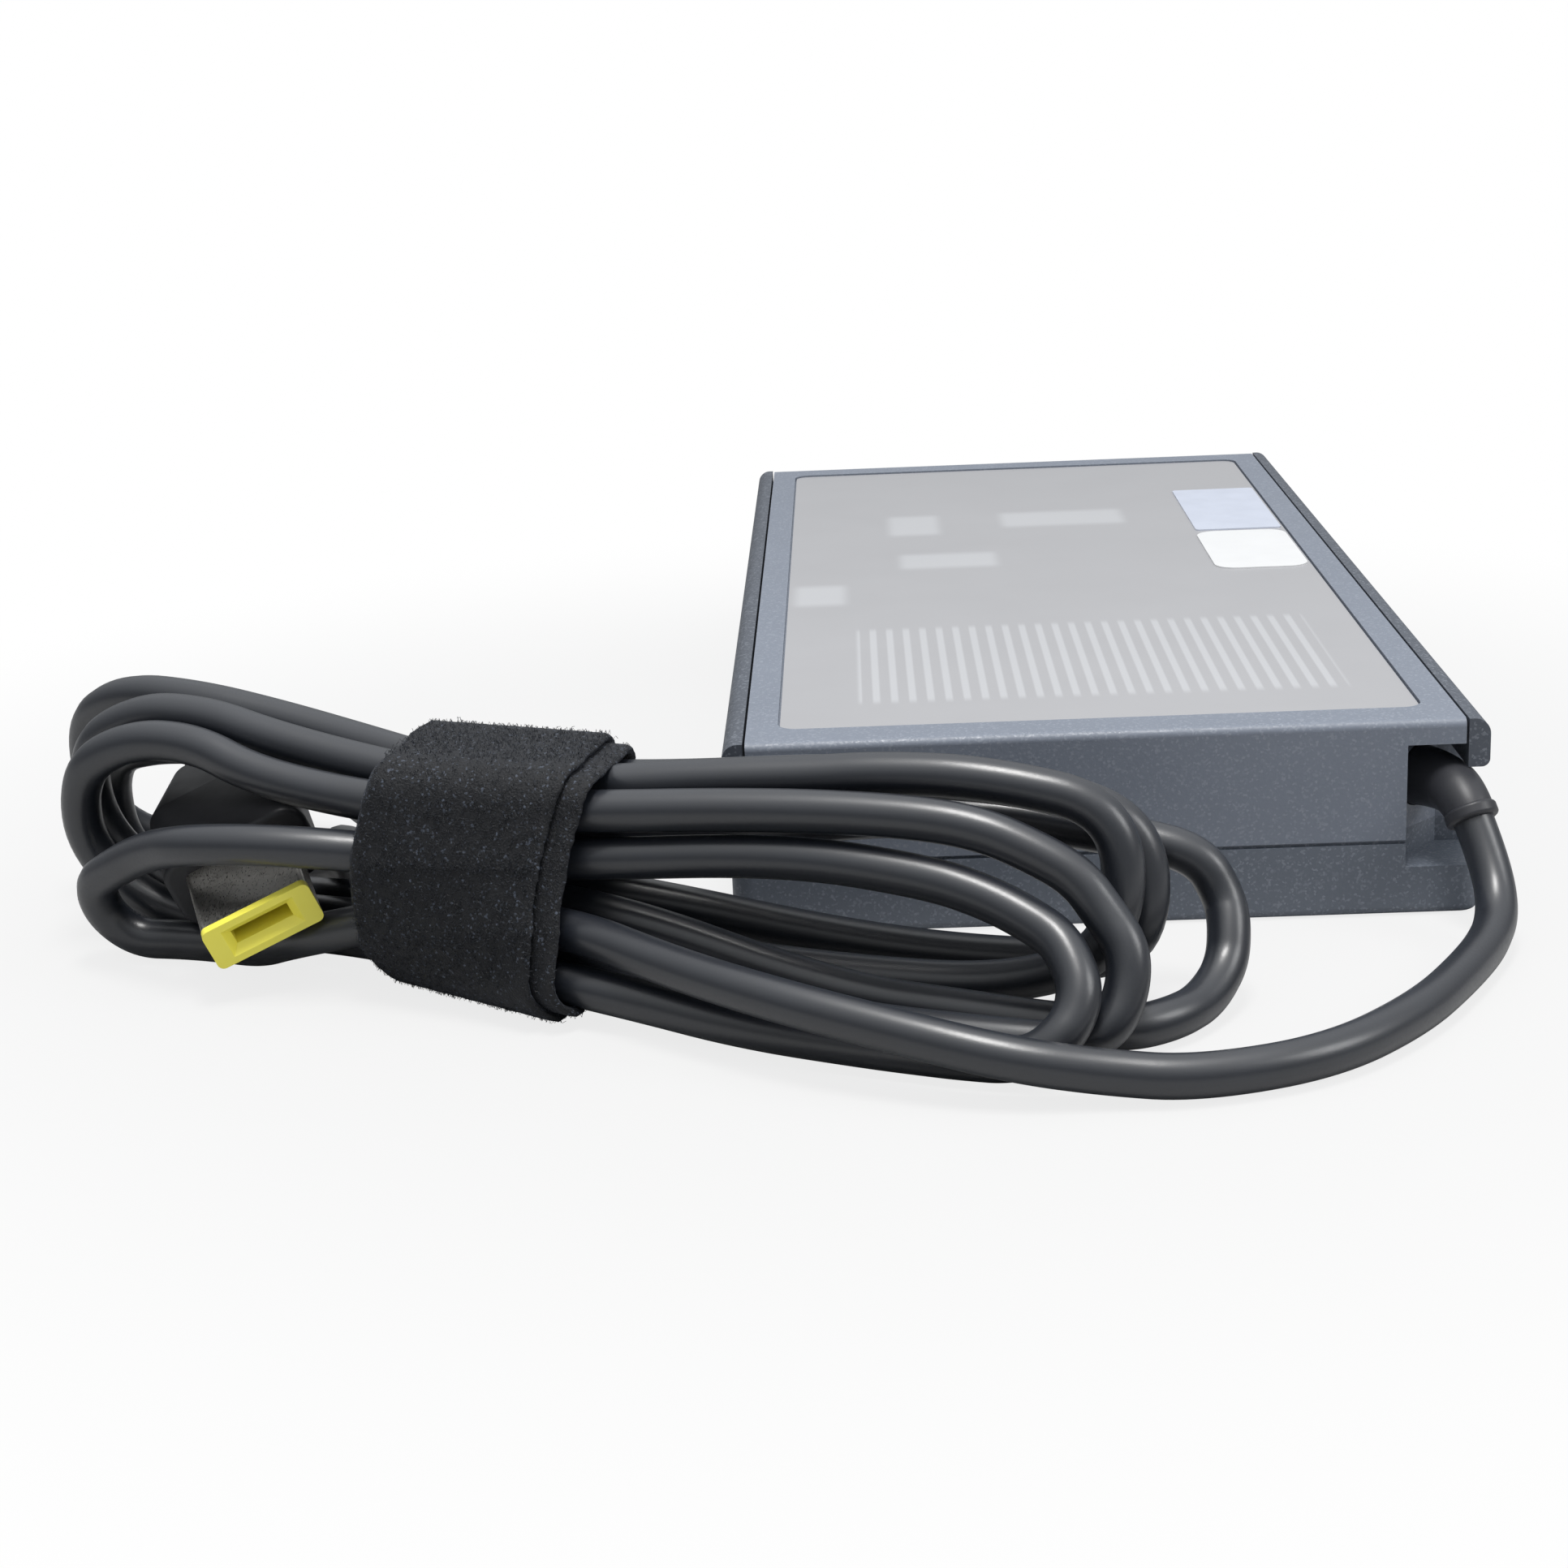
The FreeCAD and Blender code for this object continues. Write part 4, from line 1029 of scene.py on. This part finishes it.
class ADAPTER_OT_cord(bpy.types.Operator):
    """Add the DC cord from the boot through its hank to the plug"""

    bl_idname = "adapter.cord"
    bl_label = "Add cord"

    def execute(self, context):
        settings = context.scene.adapter_settings
        points = lead_points() + hank_points() + tail_points()
        data = bpy.data.curves.new("dc_cord", "CURVE")
        data.dimensions = "3D"
        data.resolution_u = 10
        data.bevel_depth = settings.cord_diameter / 2
        data.bevel_resolution = 6
        data.use_fill_caps = True
        spline = data.splines.new("NURBS")
        spline.points.add(len(points) - 1)
        for place, point in zip(spline.points, points):
            place.co = (*(point * MM), 1.0)
        spline.order_u = 3
        spline.use_endpoint_u = True
        data.materials.append(jacket_material(settings))
        cord = bpy.data.objects.new("dc_cord", data)
        context.scene.collection.objects.link(cord)
        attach(cord, ROOT)
        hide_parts("dc_cord_lead", "dc_cord_hank", "dc_cord_tail")
        return {"FINISHED"}


# Raised surface of the two layers, and the loops on the inner layer's bare edge: how far in they
# start, how many there are, their share of the pile's height, and the seeds of both piles
INNER_FUZZ = 0.04
OUTER_FUZZ = 0.1
EDGE_PILE_START = 0.1
EDGE_PILE_COUNT = 900
EDGE_PILE_SHARE = 0.8
PILE_SEED = 11
EDGE_PILE_SEED = 5


class ADAPTER_OT_strap(bpy.types.Operator):
    """Add the hook-and-loop strap with its pile and its tab"""

    bl_idname = "adapter.strap"
    bl_label = "Add strap"

    def execute(self, context):
        settings = context.scene.adapter_settings
        thick = settings.strap_thickness / MM
        high = settings.pile_height / MM
        outer = INNER_R + thick + STRAP_GAP
        left, right = OUTER_SPAN
        inner_left, inner_right = INNER_SPAN
        cloth = fabric_material("knitted_nylon_loop", settings.strap_dark, settings.strap_light)
        hooks = fabric_material("woven_nylon_hook_tape", srgb("0f1217"), srgb("191d25"))
        filament = fibre_material()
        inner_band = strap_band(
            "strap_inner_band", inner_left, inner_right, INNER_R, thick, INNER_FUZZ, cloth
        )
        outer_band = strap_band("strap_outer_band", left, right, outer, thick, OUTER_FUZZ, cloth)
        pile = strap_pile(
            "strap_outer_pile",
            left,
            right,
            outer,
            thick,
            settings.pile_count,
            high,
            filament,
            PILE_SEED,
        )
        edge_pile = strap_pile(
            "strap_inner_pile",
            right + EDGE_PILE_START,
            inner_right,
            INNER_R,
            thick,
            EDGE_PILE_COUNT,
            high * EDGE_PILE_SHARE,
            filament,
            EDGE_PILE_SEED,
        )
        tab = hook_tab("strap_tab_cloth", thick, outer, hooks)
        for piece in (inner_band, outer_band, pile, edge_pile):
            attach(piece, ROOT)
        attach(tab, TAB)
        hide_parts("strap_inner_layer")
        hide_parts("strap_outer_layer")
        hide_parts("strap_hook_tab")
        return {"FINISHED"}


class ADAPTER_OT_finishes(bpy.types.Operator):
    """Give each CAD piece its material"""

    bl_idname = "adapter.finishes"
    bl_label = "Add finishes"

    def execute(self, context):
        for name, material in node_materials(context.scene.adapter_settings).items():
            mesh = bpy.data.objects[name].data
            mesh.materials.clear()
            mesh.materials.append(material)
        return {"FINISHED"}


# Stage: plain white, the tint of the dome, the floor's half width and its drop below the object,
# and the middle of the paper's shaded part, in millimetres
WHITE = (1.0, 1.0, 1.0, 1.0)
DOME_TINT = (0.95, 0.975, 1.0, 1.0)
FLOOR_HALF = 4.0
FLOOR_DROP = 0.0001
PAPER_MIDDLE = (-20.0, -40.0, 0.0)

# Lamps: name, place, aim, width and depth, power in watts, and colour
LAMPS = (
    ("key", (-0.005, -0.15, 0.56), (-0.01, -0.10, 0.018), (0.13, 0.2), 2.4, (1.0, 0.985, 0.965)),
    ("side", (0.42, -0.20, 0.30), (0.02, -0.10, 0.01), (0.2, 0.2), 0.7, (1.0, 1.0, 1.0)),
)


def area_light(name, place, aim, size, power, colour):
    """A soft rectangular studio light."""
    data = bpy.data.lights.new(name, "AREA")
    data.shape = "RECTANGLE"
    data.size, data.size_y = size
    data.energy = power
    data.color = colour
    light = bpy.data.objects.new(name, data)
    light.location = place
    light.rotation_mode = "QUATERNION"
    light.rotation_quaternion = (Vector(aim) - Vector(place)).to_track_quat("-Z", "Y")
    bpy.context.scene.collection.objects.link(light)


def paper_material():
    """Seamless studio paper: matt white, blown out to plain white away from the object."""
    made, tree, shader, mm = new_material("seamless_studio_paper")
    paper = mottled(tree, mm, 30.0, srgb("a8a8a8"), srgb("acacac"))
    tree.links.new(paper, shader.inputs["Base Color"])
    shader.inputs["Roughness"].default_value = 0.9
    far = add(tree, "ShaderNodeVectorMath", {"operation": "DISTANCE", 1: PAPER_MIDDLE}, {0: mm})
    blown = add(
        tree,
        "ShaderNodeMapRange",
        {
            "interpolation_type": "SMOOTHSTEP",
            "From Min": 70.0,
            "From Max": 170.0,
            "To Min": 0.8,
            "To Max": 1.0,
        },
        {"Value": far.outputs["Value"]},
    )
    path = add(tree, "ShaderNodeLightPath")
    seen = add(
        tree,
        "ShaderNodeMath",
        {"operation": "MULTIPLY"},
        {0: blown.outputs["Result"], 1: path.outputs["Is Camera Ray"]},
    )
    white = add(tree, "ShaderNodeEmission", {"Color": WHITE, "Strength": 1.0})
    mix = add(
        tree,
        "ShaderNodeMixShader",
        None,
        {0: seen.outputs[0], 1: shader.outputs[0], 2: white.outputs[0]},
    )
    output = next(node for node in tree.nodes if node.bl_idname == "ShaderNodeOutputMaterial")
    tree.links.new(mix.outputs[0], output.inputs["Surface"])
    return made


def studio_world():
    """White surroundings to the camera; for the light, a dome that is brightest overhead and behind."""
    world = bpy.data.worlds.new("studio")
    world.use_nodes = True
    tree = world.node_tree
    tree.nodes.clear()
    output = add(tree, "ShaderNodeOutputWorld")
    coords = add(tree, "ShaderNodeTexCoord")
    way = add(tree, "ShaderNodeSeparateXYZ", None, {0: coords.outputs["Generated"]})
    above = add(
        tree,
        "ShaderNodeMapRange",
        {
            "interpolation_type": "SMOOTHSTEP",
            "From Min": 0.0,
            "From Max": 1.0,
            "To Min": 0.12,
            "To Max": 1.0,
        },
        {"Value": way.outputs["Z"]},
    )
    behind = add(
        tree,
        "ShaderNodeMapRange",
        {
            "interpolation_type": "SMOOTHSTEP",
            "From Min": 0.2,
            "From Max": 1.0,
            "To Min": 0.0,
            "To Max": 0.15,
        },
        {"Value": way.outputs["Y"]},
    )
    strength = add(
        tree,
        "ShaderNodeMath",
        {"operation": "ADD"},
        {0: above.outputs["Result"], 1: behind.outputs["Result"]},
    )
    path = add(tree, "ShaderNodeLightPath")
    dome = add(tree, "ShaderNodeBackground", {"Color": DOME_TINT}, {"Strength": strength.outputs[0]})
    seen = add(tree, "ShaderNodeBackground", {"Color": WHITE, "Strength": 1.0})
    mix = add(
        tree,
        "ShaderNodeMixShader",
        None,
        {0: path.outputs["Is Camera Ray"], 1: dome.outputs[0], 2: seen.outputs[0]},
    )
    tree.links.new(mix.outputs[0], output.inputs["Surface"])
    return world


class ADAPTER_OT_stage(bpy.types.Operator):
    """Add the pale floor, the studio lights and the white surroundings"""

    bl_idname = "adapter.stage"
    bl_label = "Add stage"

    def execute(self, context):
        bm = bmesh.new()
        bmesh.ops.create_grid(bm, x_segments=1, y_segments=1, size=FLOOR_HALF)
        mesh = bpy.data.meshes.new("floor")
        bm.to_mesh(mesh)
        bm.free()
        mesh.materials.append(paper_material())
        floor = bpy.data.objects.new("floor", mesh)
        floor.location = (0.0, 0.0, -FLOOR_DROP)
        context.scene.collection.objects.link(floor)
        context.scene.world = studio_world()
        for lamp in LAMPS:
            area_light(*lamp)
        context.scene.view_settings.view_transform = "Standard"
        return {"FINISHED"}


class ADAPTER_PT_panel(bpy.types.Panel):
    """Sidebar panel with the sizes, the colours and the steps"""

    bl_label = "Laptop power adapter"
    bl_idname = "ADAPTER_PT_panel"
    bl_space_type = "VIEW_3D"
    bl_region_type = "UI"
    bl_category = "Adapter"

    def draw(self, context):
        for name in AdapterSettings.__annotations__:
            self.layout.prop(context.scene.adapter_settings, name)
        for step in STEPS:
            self.layout.operator(step.bl_idname)


STEPS = (
    ADAPTER_OT_camera,
    ADAPTER_OT_cord,
    ADAPTER_OT_strap,
    ADAPTER_OT_finishes,
    ADAPTER_OT_stage,
)
CLASSES = (AdapterSettings, *STEPS, ADAPTER_PT_panel)


def register():
    """Register the add-on's classes and its settings."""
    for item in CLASSES:
        bpy.utils.register_class(item)
    bpy.types.Scene.adapter_settings = bpy.props.PointerProperty(type=AdapterSettings)


def unregister():
    """Remove the add-on's settings and classes."""
    del bpy.types.Scene.adapter_settings
    for item in reversed(CLASSES):
        bpy.utils.unregister_class(item)


def main():
    """Build the whole scene."""
    register()
    bpy.ops.adapter.camera()
    bpy.ops.adapter.cord()
    bpy.ops.adapter.strap()
    bpy.ops.adapter.finishes()
    bpy.ops.adapter.stage()


if __name__ == "__main__":
    main()
